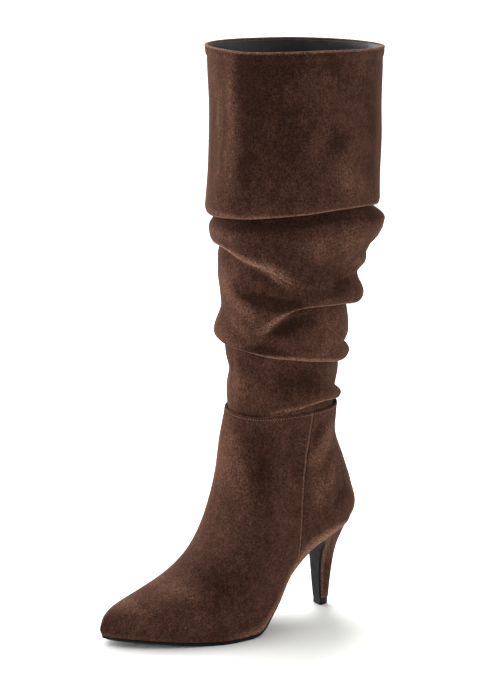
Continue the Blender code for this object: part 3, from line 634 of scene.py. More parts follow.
class Graph:
    """A node tree in the making, with one short call for each kind of node."""

    def __init__(self, tree: NodeTree) -> None:
        """Keep the tree that the nodes go into."""
        self.tree = tree

    def node(self, kind: str, **settings: object) -> bpy.types.Node:
        """Add a node of a kind and set its properties."""
        made = self.tree.nodes.new(kind)
        for name, value in settings.items():
            setattr(made, name, value)
        return made

    def feed(self, socket: Socket, value: Feed) -> None:
        """Link another socket into this one, or set a plain value on it."""
        if isinstance(value, Socket):
            self.tree.links.new(value, socket)
        elif isinstance(value, tuple) and len(value) == 3 and socket.type == "RGBA":
            socket.default_value = (*value, 1.0)
        else:
            socket.default_value = value

    def coords(self, stretch: tuple[float, float, float] = (1.0, 1.0, 1.0)) -> Socket:
        """Object coordinates, multiplied along each axis."""
        mapping = self.node("ShaderNodeMapping")
        self.feed(mapping.inputs["Vector"], self.node("ShaderNodeTexCoord").outputs["Object"])
        mapping.inputs["Scale"].default_value = stretch
        return mapping.outputs["Vector"]

    def noise(self, vector: Feed, scale: Feed, detail: float = 2.0, rough: float = 0.5) -> Socket:
        """A cloudy value from 0 to 1."""
        made = self.node("ShaderNodeTexNoise")
        self.feed(made.inputs["Vector"], vector)
        self.feed(made.inputs["Scale"], scale)
        self.feed(made.inputs["Detail"], detail)
        self.feed(made.inputs["Roughness"], rough)
        return made.outputs["Fac"]

    def cells(self, vector: Feed, scale: Feed) -> Socket:
        """Distance to the nearest of scattered points."""
        made = self.node("ShaderNodeTexVoronoi")
        self.feed(made.inputs["Vector"], vector)
        self.feed(made.inputs["Scale"], scale)
        return made.outputs["Distance"]

    def calc(self, operation: str, first: Feed, second: Feed = 0.0) -> Socket:
        """One sum on two values."""
        made = self.node("ShaderNodeMath", operation=operation)
        self.feed(made.inputs[0], first)
        self.feed(made.inputs[1], second)
        return made.outputs[0]

    def apart(self, value: Feed, place: float) -> Socket:
        """How far a value lies from a place, on either side of it."""
        return self.calc("ABSOLUTE", self.calc("SUBTRACT", value, place))

    def span(self, value: Feed, low: float, high: float, start: float = 0.0, end: float = 1.0) -> Socket:
        """A soft step of a value between two limits, from start to end."""
        made = self.node("ShaderNodeMapRange", interpolation_type="SMOOTHSTEP")
        self.feed(made.inputs["Value"], value)
        for name, limit in (("From Min", low), ("From Max", high), ("To Min", start), ("To Max", end)):
            made.inputs[name].default_value = limit
        return made.outputs["Result"]

    def blend(self, share: Feed, first: Feed, second: Feed) -> Socket:
        """Mix two colours by a share."""
        made = self.node("ShaderNodeMix", data_type="RGBA")
        self.feed(made.inputs[0], share)
        self.feed(made.inputs[6], first)
        self.feed(made.inputs[7], second)
        return made.outputs[2]

    def shade(self, colour: Feed, value: Feed) -> Socket:
        """Multiply a colour by a value."""
        made = self.node("ShaderNodeVectorMath", operation="SCALE")
        self.feed(made.inputs[0], colour)
        self.feed(made.inputs["Scale"], value)
        return made.outputs[0]

    def mark(self, name: str) -> Socket:
        """A vertex attribute of the piece."""
        return self.node("ShaderNodeAttribute", attribute_name=name).outputs["Fac"]

    def bump(self, height: Feed, depth: float, strength: float) -> Socket:
        """A normal from a height, with the depth in millimetres of a height of 1."""
        made = self.node("ShaderNodeBump")
        made.inputs["Strength"].default_value = strength
        made.inputs["Distance"].default_value = depth * MM
        self.feed(made.inputs["Height"], height)
        return made.outputs["Normal"]

    def effect(self, tree: NodeTree, **values: float) -> bpy.types.Node:
        """Place a shared node group with its own values."""
        made = self.node("ShaderNodeGroup", node_tree=tree)
        for name, value in values.items():
            made.inputs[name].default_value = value
        return made


class Effects:
    """Shader node groups that several finishes share, each built once."""

    @staticmethod
    def start(name: str, inputs: dict[str, float], outputs: Sequence[str]) -> tuple[NodeTree, Graph]:
        """Make an empty node group with named sockets.

        Args:
            name: Name of the group.
            inputs: Default of each input value.
            outputs: Names of the output values.

        Returns:
            The group and a graph to build it with.
        """
        tree = bpy.data.node_groups.new(name, "ShaderNodeTree")
        for label, value in inputs.items():
            socket = tree.interface.new_socket(name=label, in_out="INPUT", socket_type="NodeSocketFloat")
            socket.default_value = value
        for label in outputs:
            tree.interface.new_socket(name=label, in_out="OUTPUT", socket_type="NodeSocketFloat")
        return tree, Graph(tree)

    @classmethod
    def nap(cls) -> NodeTree:
        """Suede nap: a mottled tone, and a height of short fibres."""
        found = bpy.data.node_groups.get("suede_nap")
        if found:
            return found
        tree, graph = cls.start("suede_nap", {"Blotch": 26.0, "Fibre": 1500.0}, ("Tone", "Fibre"))
        given = graph.node("NodeGroupInput")
        put = graph.node("NodeGroupOutput")
        tall = graph.coords((1.0, 1.0, 0.62))
        plain = graph.coords()
        blotch = graph.noise(tall, given.outputs["Blotch"], 3.0, 0.55)
        streak = graph.noise(tall, graph.calc("MULTIPLY", given.outputs["Blotch"], 5.0), 3.0, 0.6)
        patch = graph.noise(plain, graph.calc("MULTIPLY", given.outputs["Blotch"], 12.0), 3.0, 0.6)
        fibre = graph.noise(plain, given.outputs["Fibre"], 3.0, 0.65)
        broad = graph.calc("MULTIPLY", graph.span(blotch, 0.34, 0.68), 0.24)
        middle = graph.calc("MULTIPLY", graph.span(streak, 0.30, 0.72), 0.24)
        small = graph.calc("MULTIPLY", graph.span(patch, 0.30, 0.70), 0.22)
        mottle = graph.calc("ADD", graph.calc("ADD", broad, middle), small)
        graph.feed(put.inputs["Tone"], graph.calc("ADD", mottle, 0.13))
        graph.feed(put.inputs["Fibre"], fibre)
        return tree

    @classmethod
    def grain(cls) -> NodeTree:
        """Fine leather or rubber grain: a pebbled height, and a mask of faint wear."""
        found = bpy.data.node_groups.get("fine_grain")
        if found:
            return found
        tree, graph = cls.start("fine_grain", {"Size": 900.0, "Wear": 60.0}, ("Height", "Wear"))
        given = graph.node("NodeGroupInput")
        put = graph.node("NodeGroupOutput")
        plain = graph.coords()
        pebble = graph.cells(plain, given.outputs["Size"])
        cloud = graph.noise(plain, given.outputs["Wear"], 4.0, 0.6)
        graph.feed(put.inputs["Height"], graph.span(pebble, 0.05, 0.6))
        graph.feed(put.inputs["Wear"], graph.span(cloud, 0.42, 0.70))
        return tree


def start_material(name: str) -> tuple[Material, Graph, bpy.types.Node]:
    """Make a material and give its graph and its shader."""
    made = bpy.data.materials.new(name)
    made.use_nodes = True
    return made, Graph(made.node_tree), made.node_tree.nodes["Principled BSDF"]


@dataclass(frozen=True)
class SuedeFinish:
    """Brown napped suede: mottled tone, short fibres, paler edges, partly rubbed and partly painted
    highlights, and sewn seams.

    The four colours run from the darkest nap, also used for painted shade, through paler nap, also used for
    painted highlights, to rubbed edges, also used for painted highlights. lap_edge and groove are places
    beside a seam, in millimetres.
    """

    name: str = "brown_suede"
    deep: Colour = (0.0195, 0.0082, 0.0053)
    body: Colour = (0.043, 0.0192, 0.0127)
    pale_nap_and_highlight: Colour = (0.080, 0.0375, 0.0255)
    rubbed: Colour = (0.175, 0.091, 0.064)
    sheen: Colour = (0.62, 0.31, 0.21)
    seamed: bool = True
    blotch: float = 30.0
    fibre: float = 820.0
    nap_and_shading_weight: float = 0.78
    lap_edge: float = 0.7
    groove: float = -0.45

    def make(self) -> Material:
        """Build the material.

        Returns:
            The finished material.
        """
        made, graph, shader = start_material(self.name)
        nap = graph.effect(Effects.nap(), Blotch=self.blotch, Fibre=self.fibre)
        fibre = nap.outputs["Fibre"]
        # Tone: the nap's own mottle plus the nap mark, which also carries painted light and shade of folds,
        # ridges, dents and edges
        tone = graph.calc("ADD", nap.outputs["Tone"], graph.calc("MULTIPLY", graph.mark("nap"), self.nap_and_shading_weight))
        colour = graph.blend(graph.span(tone, 0.05, 0.60), self.deep, self.body)
        colour = graph.blend(graph.span(tone, 0.50, 1.10), colour, self.pale_nap_and_highlight)
        # Paler mark: rubbed nap on rims, heel and welts, partly rubbed and partly painted highlight on the
        # lips, and painted highlights along ridges and the foot's lower edge
        worn = graph.calc("MULTIPLY", graph.mark("rub_and_highlight"), graph.span(fibre, 0.30, 0.62, 0.35, 1.0))
        height = graph.calc("MULTIPLY", fibre, 0.45)
        if self.seamed:
            beside = graph.mark("seam")
            edge = graph.span(graph.apart(beside, self.lap_edge), 0.2, 1.1, 0.38, 0.0)
            worn = graph.calc("MAXIMUM", worn, edge)
            lap = graph.span(beside, -0.5, 0.4)
            height = graph.calc("ADD", height, graph.calc("MULTIPLY", lap, 1.1))
        colour = graph.blend(worn, colour, self.rubbed)
        colour = graph.shade(colour, graph.span(fibre, 0.34, 0.66, 0.48, 1.52))
        if self.seamed:
            groove = graph.span(graph.apart(beside, self.groove), 0.15, 0.75, 0.35, 1.0)
            colour = graph.shade(colour, groove)
        graph.feed(shader.inputs["Base Color"], colour)
        graph.feed(shader.inputs["Roughness"], graph.span(fibre, 0.3, 0.7, 0.86, 1.0))
        graph.feed(shader.inputs["Normal"], graph.bump(height, 0.5, 0.7))
        shader.inputs["Specular IOR Level"].default_value = 0.04
        shader.inputs["Sheen Weight"].default_value = 0.16
        shader.inputs["Sheen Roughness"].default_value = 0.45
        shader.inputs["Sheen Tint"].default_value = (*self.sheen, 1.0)
        return made


@dataclass(frozen=True)
class GrainedFinish:
    """A smooth dark finish with fine grain and faint wear, for sole, tip, lining and sock."""

    name: str
    base: Colour
    worn: Colour
    rough: float
    grain: float
    depth: float
    coat: float = 0.0
    gloss: float = 0.20

    def make(self) -> Material:
        """Build the material.

        Returns:
            The finished material.
        """
        made, graph, shader = start_material(self.name)
        grain = graph.effect(Effects.grain(), Size=self.grain, Wear=70.0)
        wear = grain.outputs["Wear"]
        graph.feed(shader.inputs["Base Color"], graph.blend(wear, self.base, self.worn))
        graph.feed(shader.inputs["Roughness"], graph.span(wear, 0.0, 1.0, self.rough, self.rough + 0.14))
        graph.feed(shader.inputs["Normal"], graph.bump(grain.outputs["Height"], self.depth, 0.6))
        shader.inputs["Specular IOR Level"].default_value = self.gloss
        shader.inputs["Coat Weight"].default_value = self.coat
        shader.inputs["Coat Roughness"].default_value = 0.22
        return made


@dataclass(frozen=True)
class ThreadFinish:
    """Twisted sewing thread."""

    name: str
    light: Colour
    dark: Colour

    def make(self) -> Material:
        """Build the material.

        Returns:
            The finished material.
        """
        made, graph, shader = start_material(self.name)
        ply = graph.noise(graph.coords(), 2600.0, 2.0, 0.5)
        colour = graph.blend(graph.span(ply, 0.3, 0.7), self.dark, self.light)
        graph.feed(shader.inputs["Base Color"], colour)
        graph.feed(shader.inputs["Roughness"], graph.span(ply, 0.3, 0.7, 0.6, 0.85))
        graph.feed(shader.inputs["Normal"], graph.bump(ply, 0.12, 0.6))
        return made


@dataclass(frozen=True)
class TapeFinish:
    """Woven tape of the zip."""

    name: str
    light: Colour
    dark: Colour

    def make(self) -> Material:
        """Build the material.

        Returns:
            The finished material.
        """
        made, graph, shader = start_material(self.name)
        weft = graph.noise(graph.coords((0.3, 0.3, 1.0)), 2400.0, 2.0, 0.5)
        warp = graph.noise(graph.coords((1.0, 1.0, 0.2)), 2400.0, 2.0, 0.5)
        cloth = graph.calc("MAXIMUM", weft, warp)
        colour = graph.blend(graph.span(cloth, 0.42, 0.70), self.dark, self.light)
        graph.feed(shader.inputs["Base Color"], colour)
        graph.feed(shader.inputs["Roughness"], graph.span(cloth, 0.4, 0.7, 0.95, 0.75))
        graph.feed(shader.inputs["Normal"], graph.bump(cloth, 0.25, 0.7))
        shader.inputs["Specular IOR Level"].default_value = 0.06
        return made


@dataclass(frozen=True)
class MetalFinish:
    """Dark plated metal with fine scratches and paler worn spots."""

    name: str
    base: Colour
    worn: Colour

    def make(self) -> Material:
        """Build the material.

        Returns:
            The finished material.
        """
        made, graph, shader = start_material(self.name)
        scratch = graph.noise(graph.coords((1.0, 1.0, 0.12)), 1800.0, 3.0, 0.6)
        spot = graph.noise(graph.coords(), 420.0, 3.0, 0.55)
        colour = graph.blend(graph.span(spot, 0.45, 0.70), self.base, self.worn)
        graph.feed(shader.inputs["Base Color"], colour)
        graph.feed(shader.inputs["Roughness"], graph.span(scratch, 0.3, 0.7, 0.24, 0.42))
        graph.feed(shader.inputs["Normal"], graph.bump(scratch, 0.015, 0.4))
        shader.inputs["Metallic"].default_value = 1.0
        return made


Finish = Union[SuedeFinish, GrainedFinish, ThreadFinish, TapeFinish, MetalFinish]

SUEDE = SuedeFinish()
HEEL_SUEDE = SuedeFinish(name="heel_suede", seamed=False)
SOLE = GrainedFinish(
    "black_sole", base=(0.0045, 0.0045, 0.005), worn=(0.008, 0.008, 0.009),
    rough=0.48, grain=700.0, depth=0.04, coat=0.01, gloss=0.09,
)
TIP = GrainedFinish(
    "black_tip", base=(0.004, 0.004, 0.004), worn=(0.007, 0.007, 0.007),
    rough=0.40, grain=900.0, depth=0.03, coat=0.02, gloss=0.12,
)
LINING = GrainedFinish(
    "black_lining", base=(0.023, 0.023, 0.0235), worn=(0.038, 0.038, 0.039),
    rough=0.42, grain=520.0, depth=0.06, gloss=0.30,
)
SOCK = GrainedFinish(
    "black_sock", base=(0.014, 0.013, 0.013), worn=(0.024, 0.022, 0.021), rough=0.70, grain=1100.0, depth=0.10
)
COIL = GrainedFinish(
    "brown_coil", base=(0.030, 0.015, 0.010), worn=(0.042, 0.022, 0.016),
    rough=0.45, grain=1500.0, depth=0.02, gloss=0.10,
)
PALE_THREAD = ThreadFinish("pale_thread", light=(0.270, 0.185, 0.130), dark=(0.120, 0.078, 0.054))
DARK_THREAD = ThreadFinish("dark_thread", light=(0.016, 0.008, 0.006), dark=(0.007, 0.0035, 0.003))
BROWN_THREAD = ThreadFinish("brown_thread", light=(0.085, 0.046, 0.032), dark=(0.036, 0.018, 0.012))
TAPE = TapeFinish("brown_tape", light=(0.050, 0.025, 0.017), dark=(0.022, 0.011, 0.008))
METAL = MetalFinish("dark_metal", base=(0.140, 0.112, 0.088), worn=(0.200, 0.162, 0.128))


class Workshop:
    """Turns finished meshes into named pieces of the boot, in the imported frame."""

    def __init__(self) -> None:
        """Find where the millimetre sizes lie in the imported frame."""
        tip_low, tip_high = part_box("heel_top_piece")
        self.shift = Vector((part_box("upper")[0].x, (tip_low.y + tip_high.y) / 2, 0.0))
        self.made: dict[Finish, Material] = {}

    def material(self, finish: Finish) -> Material:
        """The material of a finish, built once."""
        if finish not in self.made:
            self.made[finish] = finish.make()
        return self.made[finish]

    def local(self, point: Sequence[float]) -> Vector:
        """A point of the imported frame, in the millimetres used here."""
        return (Vector(point) - self.shift) / MM

    def piece(
        self,
        name: str,
        bm: BMesh,
        finish: Finish,
        body: Body = Body.BOOT,
        stands_for: Sequence[str] = (),
        sharp: float = 48.0,
    ) -> bpy.types.Object:
        """Make an object from a bmesh and put it on its body.

        Args:
            name: Name of the piece.
            bm: Its mesh in millimetres, which is freed.
            finish: Its finish.
            body: Body that it moves with.
            stands_for: CAD nodes that it replaces.
            sharp: Angle in degrees above which an edge stays sharp.

        Returns:
            The object.
        """
        place = Matrix.Translation(self.shift) @ Matrix.Scale(MM, 4)
        bmesh.ops.transform(bm, matrix=place, verts=bm.verts)
        mesh = bpy.data.meshes.new(name)
        bm.to_mesh(mesh)
        bm.free()
        mesh.shade_smooth()
        mesh.set_sharp_from_angle(angle=math.radians(sharp))
        mesh.materials.append(self.material(finish))
        made = bpy.data.objects.new(name, mesh)
        bpy.context.scene.collection.objects.link(made)
        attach(made, body.value)
        if stands_for:
            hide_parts(*stands_for)
        LOG.info("%s: %d faces on %s", name, len(mesh.polygons), body.value)
        return made


@dataclass(frozen=True)
class Stitching:
    """A row of short stitches: their pitch, length, thickness and stand off the skin in millimetres."""

    pitch: float
    length: float
    thick: float
    proud: float

    def sew(self, bm: BMesh, line: Array, outwards: Array, closed: bool) -> None:
        """Add stitches along a line on a skin.

        Args:
            bm: Mesh that the stitches go into.
            line: Points of the line.
            outwards: Outward direction of the skin at each point.
            closed: Whether the line comes back to its start.
        """
        spots = even_steps(line, self.pitch, closed)
        ahead = np.roll(spots, -1, axis=0) - np.roll(spots, 1, axis=0)
        if not closed:
            ahead[0], ahead[-1] = spots[1] - spots[0], spots[-1] - spots[-2]
        nearest = np.argmin(((spots[:, None] - line[None]) ** 2).sum(axis=2), axis=1)
        for spot, along, out in zip(spots, ahead, outwards[nearest]):
            run = Vector(along).normalized()
            up = Vector(out)
            up = (up - run * up.dot(run)).normalized()
            turned = Matrix((run * self.length / 2, run.cross(up) * self.thick / 2, up * self.thick / 2))
            place = Matrix.Translation(Vector(spot) + up * self.proud) @ turned.transposed().to_4x4()
            bmesh.ops.create_uvsphere(bm, u_segments=6, v_segments=4, radius=1.0, matrix=place)


RIM_ROW = Stitching(pitch=2.5, length=1.5, thick=0.62, proud=0.06)
LINING_ROW = Stitching(pitch=2.4, length=1.5, thick=0.40, proud=0.02)
ANKLE_ROW = Stitching(pitch=2.1, length=1.0, thick=0.50, proud=0.06)
ZIP_ROW = Stitching(pitch=2.4, length=1.6, thick=0.42, proud=0.06)
ZIP_END_ROW = Stitching(pitch=2.2, length=1.5, thick=0.42, proud=0.06)


@dataclass
class Shaft:
    """The slouching tube of suede above the ankle, with its lining, rim and stitches.

    arc is the mean radius that turns angles into lengths, and core a point inside the tube. Below a roll the
    cloth starts again lip_gap under its lip, and as much as overlap higher where the roll hangs over. snug
    is how far the hidden end stands out to fill the foot part's rim.
    """

    columns: int = 280
    lining_columns: int = 144
    thread_columns: int = 720
    height: float = 485.0
    ankle_height: float = 184.0
    hem_band: float = 8.5
    hem_step: float = 0.8
    rim_worn: float = 0.6
    wall: float = 1.7
    arc: float = 53.0
    core: Place = (62.0, 0.0, 330.0)
    lip_gap: float = 0.3
    overlap: float = 2.2
    stitch_drop: float = 2.3
    seam_angle: float = 205.0
    snug: float = 2.2
    tab_span: tuple[float, float] = (150.0, 184.0)
    tab_drops: tuple[float, ...] = (1.6, 4.4, 8.0, 16.0, 24.0, 32.0, 40.0, 44.0, 45.0)

    @staticmethod
    def ring(columns: int) -> Array:
        """Even angles once round the shaft, in radians."""
        return np.linspace(0, 2 * math.pi, columns, endpoint=False)

    def tube(self, angles: Array, heights: Array, offset: Array) -> Array:
        """Points of the plain tube at some angles and heights, moved out by an offset.

        Args:
            angles: Angles in radians from the front towards the outer side.
            heights: Heights in millimetres.
            offset: How far each point stands off the plain tube.

        Returns:
            The points, in an array with one more axis.
        """
        table = np.array(SHAFT_SECTIONS)[::-1]
        places = np.interp(heights, table[:, 0], np.arange(len(table)))
        centre, depth, width, egg = (smooth(table[:, column], places) for column in (1, 2, 3, 4))
        flat = np.interp(heights, *zip(*FLAT_HEIGHTS))
        offset = offset - flat * around(FLAT_SIDE, angles)
        x = centre + (depth + offset) * np.cos(angles)
        y = (width + offset) * np.sin(angles) * (1 + egg * np.cos(angles))
        return np.stack([x, y, heights + 0.0 * x], axis=-1)

    def level(self, angles: Array) -> Array:
        """Height of the rim at some angles."""
        return self.height - around(RIM_DROP, angles)

    def fold_rows(self, angles: Array) -> list[tuple[Array, Array, Array]]:
        """Rows of the folds from below the hem to the hidden end inside the ankle.

        Args:
            angles: Angles of the columns in radians.

        Returns:
            For each row its heights, offsets and rubbed marks.
        """
        rows = []
        none = np.zeros_like(angles)
        top = self.level(angles) - self.hem_band - self.hem_step
        tuck = above = none
        for number, fold in enumerate(FOLDS):
            # Two slow waves keep the lips from running dead even, half as far on the cuff
            wobble = 0.35 * np.sin(5 * angles + 1.7 * number) + 0.25 * np.sin(9 * angles + 0.9 * number)
            lip = around(fold.lip_height, angles) + (wobble if number else 0.5 * wobble)
            bulge = np.maximum(around(fold.bulge, angles), 0.0)
            sharp = np.clip(around(fold.sharp, angles), 0.0, 1.0)
            crown = around(fold.crown, angles)
            # The face, from where the cloth starts down to its fullest line
            for step in np.linspace(0.0, 1.0, fold.rings + 1)[1:]:
                rise = step
                if number:
                    steep = math.sin(math.pi / 2 * step)
                    gentle = 0.5 - 0.5 * math.cos(math.pi * step)
                    rise = above * steep + (1 - above) * gentle
                u = crown * step
                rows.append((top + (lip - top) * u, bulge * rise - tuck * (1 - u) ** 2, none))
            # The turn of the lip, paler where it stands out: partly rubbed nap and partly a painted highlight
            for turn in np.radians(np.linspace(0.0, 90.0, 10)[1:]):
                past = math.sin(turn)
                rounded = fold.lip + (1 - fold.lip) * math.cos(turn)
                faded = 0.5 + 0.5 * math.cos(math.pi * past)
                u = crown + (1 - crown) * past
                offset = bulge * (sharp * rounded + (1 - sharp) * faded) - tuck * (1 - u) ** 2
                rub_and_highlight = fold.worn * sharp * np.minimum(bulge / 3.0, 1.0) * ease((past - 0.66) / 0.26)
                rows.append((top + (lip - top) * u, offset, rub_and_highlight))
            # Back under the lip, to where the next roll starts
            edge = bulge * sharp * fold.lip
            deep = fold.tuck * sharp
            below = lip - self.lip_gap + self.overlap * sharp
            for share in (0.25, 0.5, 0.75, 1.0):
                hang = fold.droop * sharp * math.sin(math.pi * min(share * 1.2, 1.0)) * 0.5
                lift = (below - lip) * share**2
                rows.append((lip - hang + lift, edge + (-deep - edge) * share, none))
            above, tuck, top = sharp, deep, below
        flat = np.interp(self.ankle_height, *zip(*FLAT_HEIGHTS))
        snug = self.snug + flat * around(FLAT_SIDE, angles)
        rows.append((np.minimum(top - 1.0, self.ankle_height + 3.0), 0.7 * snug, none))
        rows.append((np.minimum(top - 2.5, self.ankle_height + 0.5), snug, none))
        rows.append((none + self.ankle_height - 10.0, none, none))
        return rows

    def build_suede(self, shop: Workshop) -> None:
        """Build the outer skin, from inside the rim over the hem and down through the folds."""
        angles = self.ring(self.columns)
        level = self.level(angles)
        none = np.zeros_like(angles)
        rows = []
        for rise, out in RIM_PROFILE:
            rubbed = self.rim_worn if rise > -1.6 else 0.0
            rows.append((level + rise, none + out, none + rubbed))
        rows += self.fold_rows(angles)
        heights, offset, rub_and_highlight = (np.array(part) for part in zip(*rows))
        turn = np.broadcast_to(np.degrees(angles), heights.shape)
        below_hem = ease((self.height - 12.0 - heights) / 20.0)
        offset = offset + self.crease_offset(turn, heights) * below_hem
        # Painted highlights and shade along the folds, which also raise the paler mark, patches of painted
        # light and shade partly the nap's own tone, and the folds' painted relief shading
        painted_shading = self.crease_sum(SHAFT_PAINTED_SHADING, turn, heights)
        nap = patch_tone(SHAFT_SHADING_PATCHES, turn, heights, True) + self.painted_fold_shading(offset) + painted_shading
        rub_and_highlight = np.maximum(rub_and_highlight, 0.50 * np.clip(painted_shading - 0.1, 0.0, 1.0))
        past_seam = np.radians(bearing(turn, self.seam_angle)) * self.arc
        seam = np.clip(past_seam, -SEAM_REACH, SEAM_REACH)
        points = self.tube(np.radians(turn), heights, offset)
        bm = skin(points, True, {"rub_and_highlight": rub_and_highlight, "nap": nap, "seam": seam})
        face_from(bm, self.core)
        shop.piece("shaft_suede", bm, SUEDE, stands_for=["shaft"], sharp=80.0)

    def painted_fold_shading(self, offset: Array) -> Array:
        """Painted light and shade from the relief of the folds: paler on ridges, partly the nap's own tone
        and partly a painted highlight, and painted shade in hollows.
        """
        broad = offset.copy()
        for _ in range(10):
            broad = (np.roll(broad, 1, axis=1) + 2 * broad + np.roll(broad, -1, axis=1)) / 4
            padded = np.vstack([broad[:1], broad, broad[-1:]])
            broad = (padded[:-2] + 2 * padded[1:-1] + padded[2:]) / 4
        return np.clip((offset - broad) / 4.0, -0.25, 0.4)

    def crease_sum(self, creases: Sequence[Crease], turn: Array, heights: Array) -> Array:
        """Sum of creases or strokes at angles in degrees and heights."""
        total = np.zeros_like(heights)
        scale = math.radians(1.0) * self.arc
        for crease in creases:
            middle = crease.path[len(crease.path) // 2][0]
            line = tuple((bearing(angle, middle) * scale, z) for angle, z in crease.path)
            flat = crease._replace(path=line)
            total += crease_lift([flat], bearing(turn, middle) * scale, heights)
        return total

    def crease_offset(self, turn: Array, heights: Array) -> Array:
        """Outward move of the shaft's creases and its slow unevenness."""
        slow = 0.35 * np.sin(np.radians(turn) * 4 + heights / 17.0) * np.sin(heights / 23.0 + 1.0)
        return self.crease_sum(SHAFT_CREASES, turn, heights) + slow

    def build_lining(self, shop: Workshop) -> None:
        """Build the black lining inside the tube, with soft wrinkles below the rim."""
        angles = self.ring(self.lining_columns)
        level = self.level(angles)
        none = np.zeros_like(angles)
        rows = [(level - 1.1, none - 1.95), (level - 3.0, none - 2.3), (level - 6.0, none - 2.4)]
        start = len(rows)
        for heights, offset, _ in self.fold_rows(angles)[:-2:3]:
            rows.append((heights, np.minimum(offset, 8.0) - self.wall - 1.0))
        rows.append((none + self.ankle_height - 8.0, none - self.wall - 0.6))
        heights, offset = (np.array(part) for part in zip(*rows))
        turn = np.broadcast_to(angles, heights.shape)
        wave = 0.9 * np.sin(turn * 3 + heights / 6.5) * np.exp(-(((heights - 468.0) / 14.0) ** 2))
        offset = offset + np.where(np.arange(len(rows))[:, None] >= start, wave, 0.0)
        # The lining hangs straight down, without the overhangs of the lips
        hanging = np.sort(heights, axis=0)[::-1]
        bm = skin(self.tube(turn, hanging, offset), True)
        face_from(bm, self.core, True)
        shop.piece("shaft_lining", bm, LINING)

    def build_stitches(self, shop: Workshop) -> None:
        """Sew the rim: one row outside on the suede and the same row inside on the lining."""
        angles = self.ring(self.thread_columns)
        heights = self.level(angles) - self.stitch_drop
        outwards = np.stack([np.cos(angles), np.sin(angles), 0 * angles], axis=1)
        for name, row, offset, way, finish, slot in (
            ("rim_stitches", RIM_ROW, 0.54, 1.0, DARK_THREAD, Slot.SUEDE),
            ("lining_stitches", LINING_ROW, -2.35, -1.0, PALE_THREAD, Slot.SOCK),
        ):
            bm = bmesh.new()
            row.sew(bm, self.tube(angles, heights, offset + 0 * angles), way * outwards, True)
            shop.piece(name, bm, finish, sharp=180.0)

    def build_tab(self, shop: Workshop) -> None:
        """Build the lapped end of the lining at the back, a flat strip that hangs from the rim."""
        angles = np.radians(np.linspace(*self.tab_span, 22))
        heights = self.level(angles)[None] - np.array(self.tab_drops)[:, None]
        turn = np.broadcast_to(angles, heights.shape)
        lift = np.sin(np.linspace(0, math.pi, len(angles))) ** 0.35
        offset = -2.6 - 1.1 * np.broadcast_to(lift, heights.shape)
        offset[0] = offset[-1] = -2.4
        bm = skin(self.tube(turn, heights, offset), False)
        face_from(bm, self.core, True)
        shop.piece("lining_tab", bm, LINING)

    def build(self, shop: Workshop) -> None:
        """Build all pieces of the shaft."""
        self.build_suede(shop)
        self.build_lining(shop)
        self.build_stitches(shop)
        self.build_tab(shop)


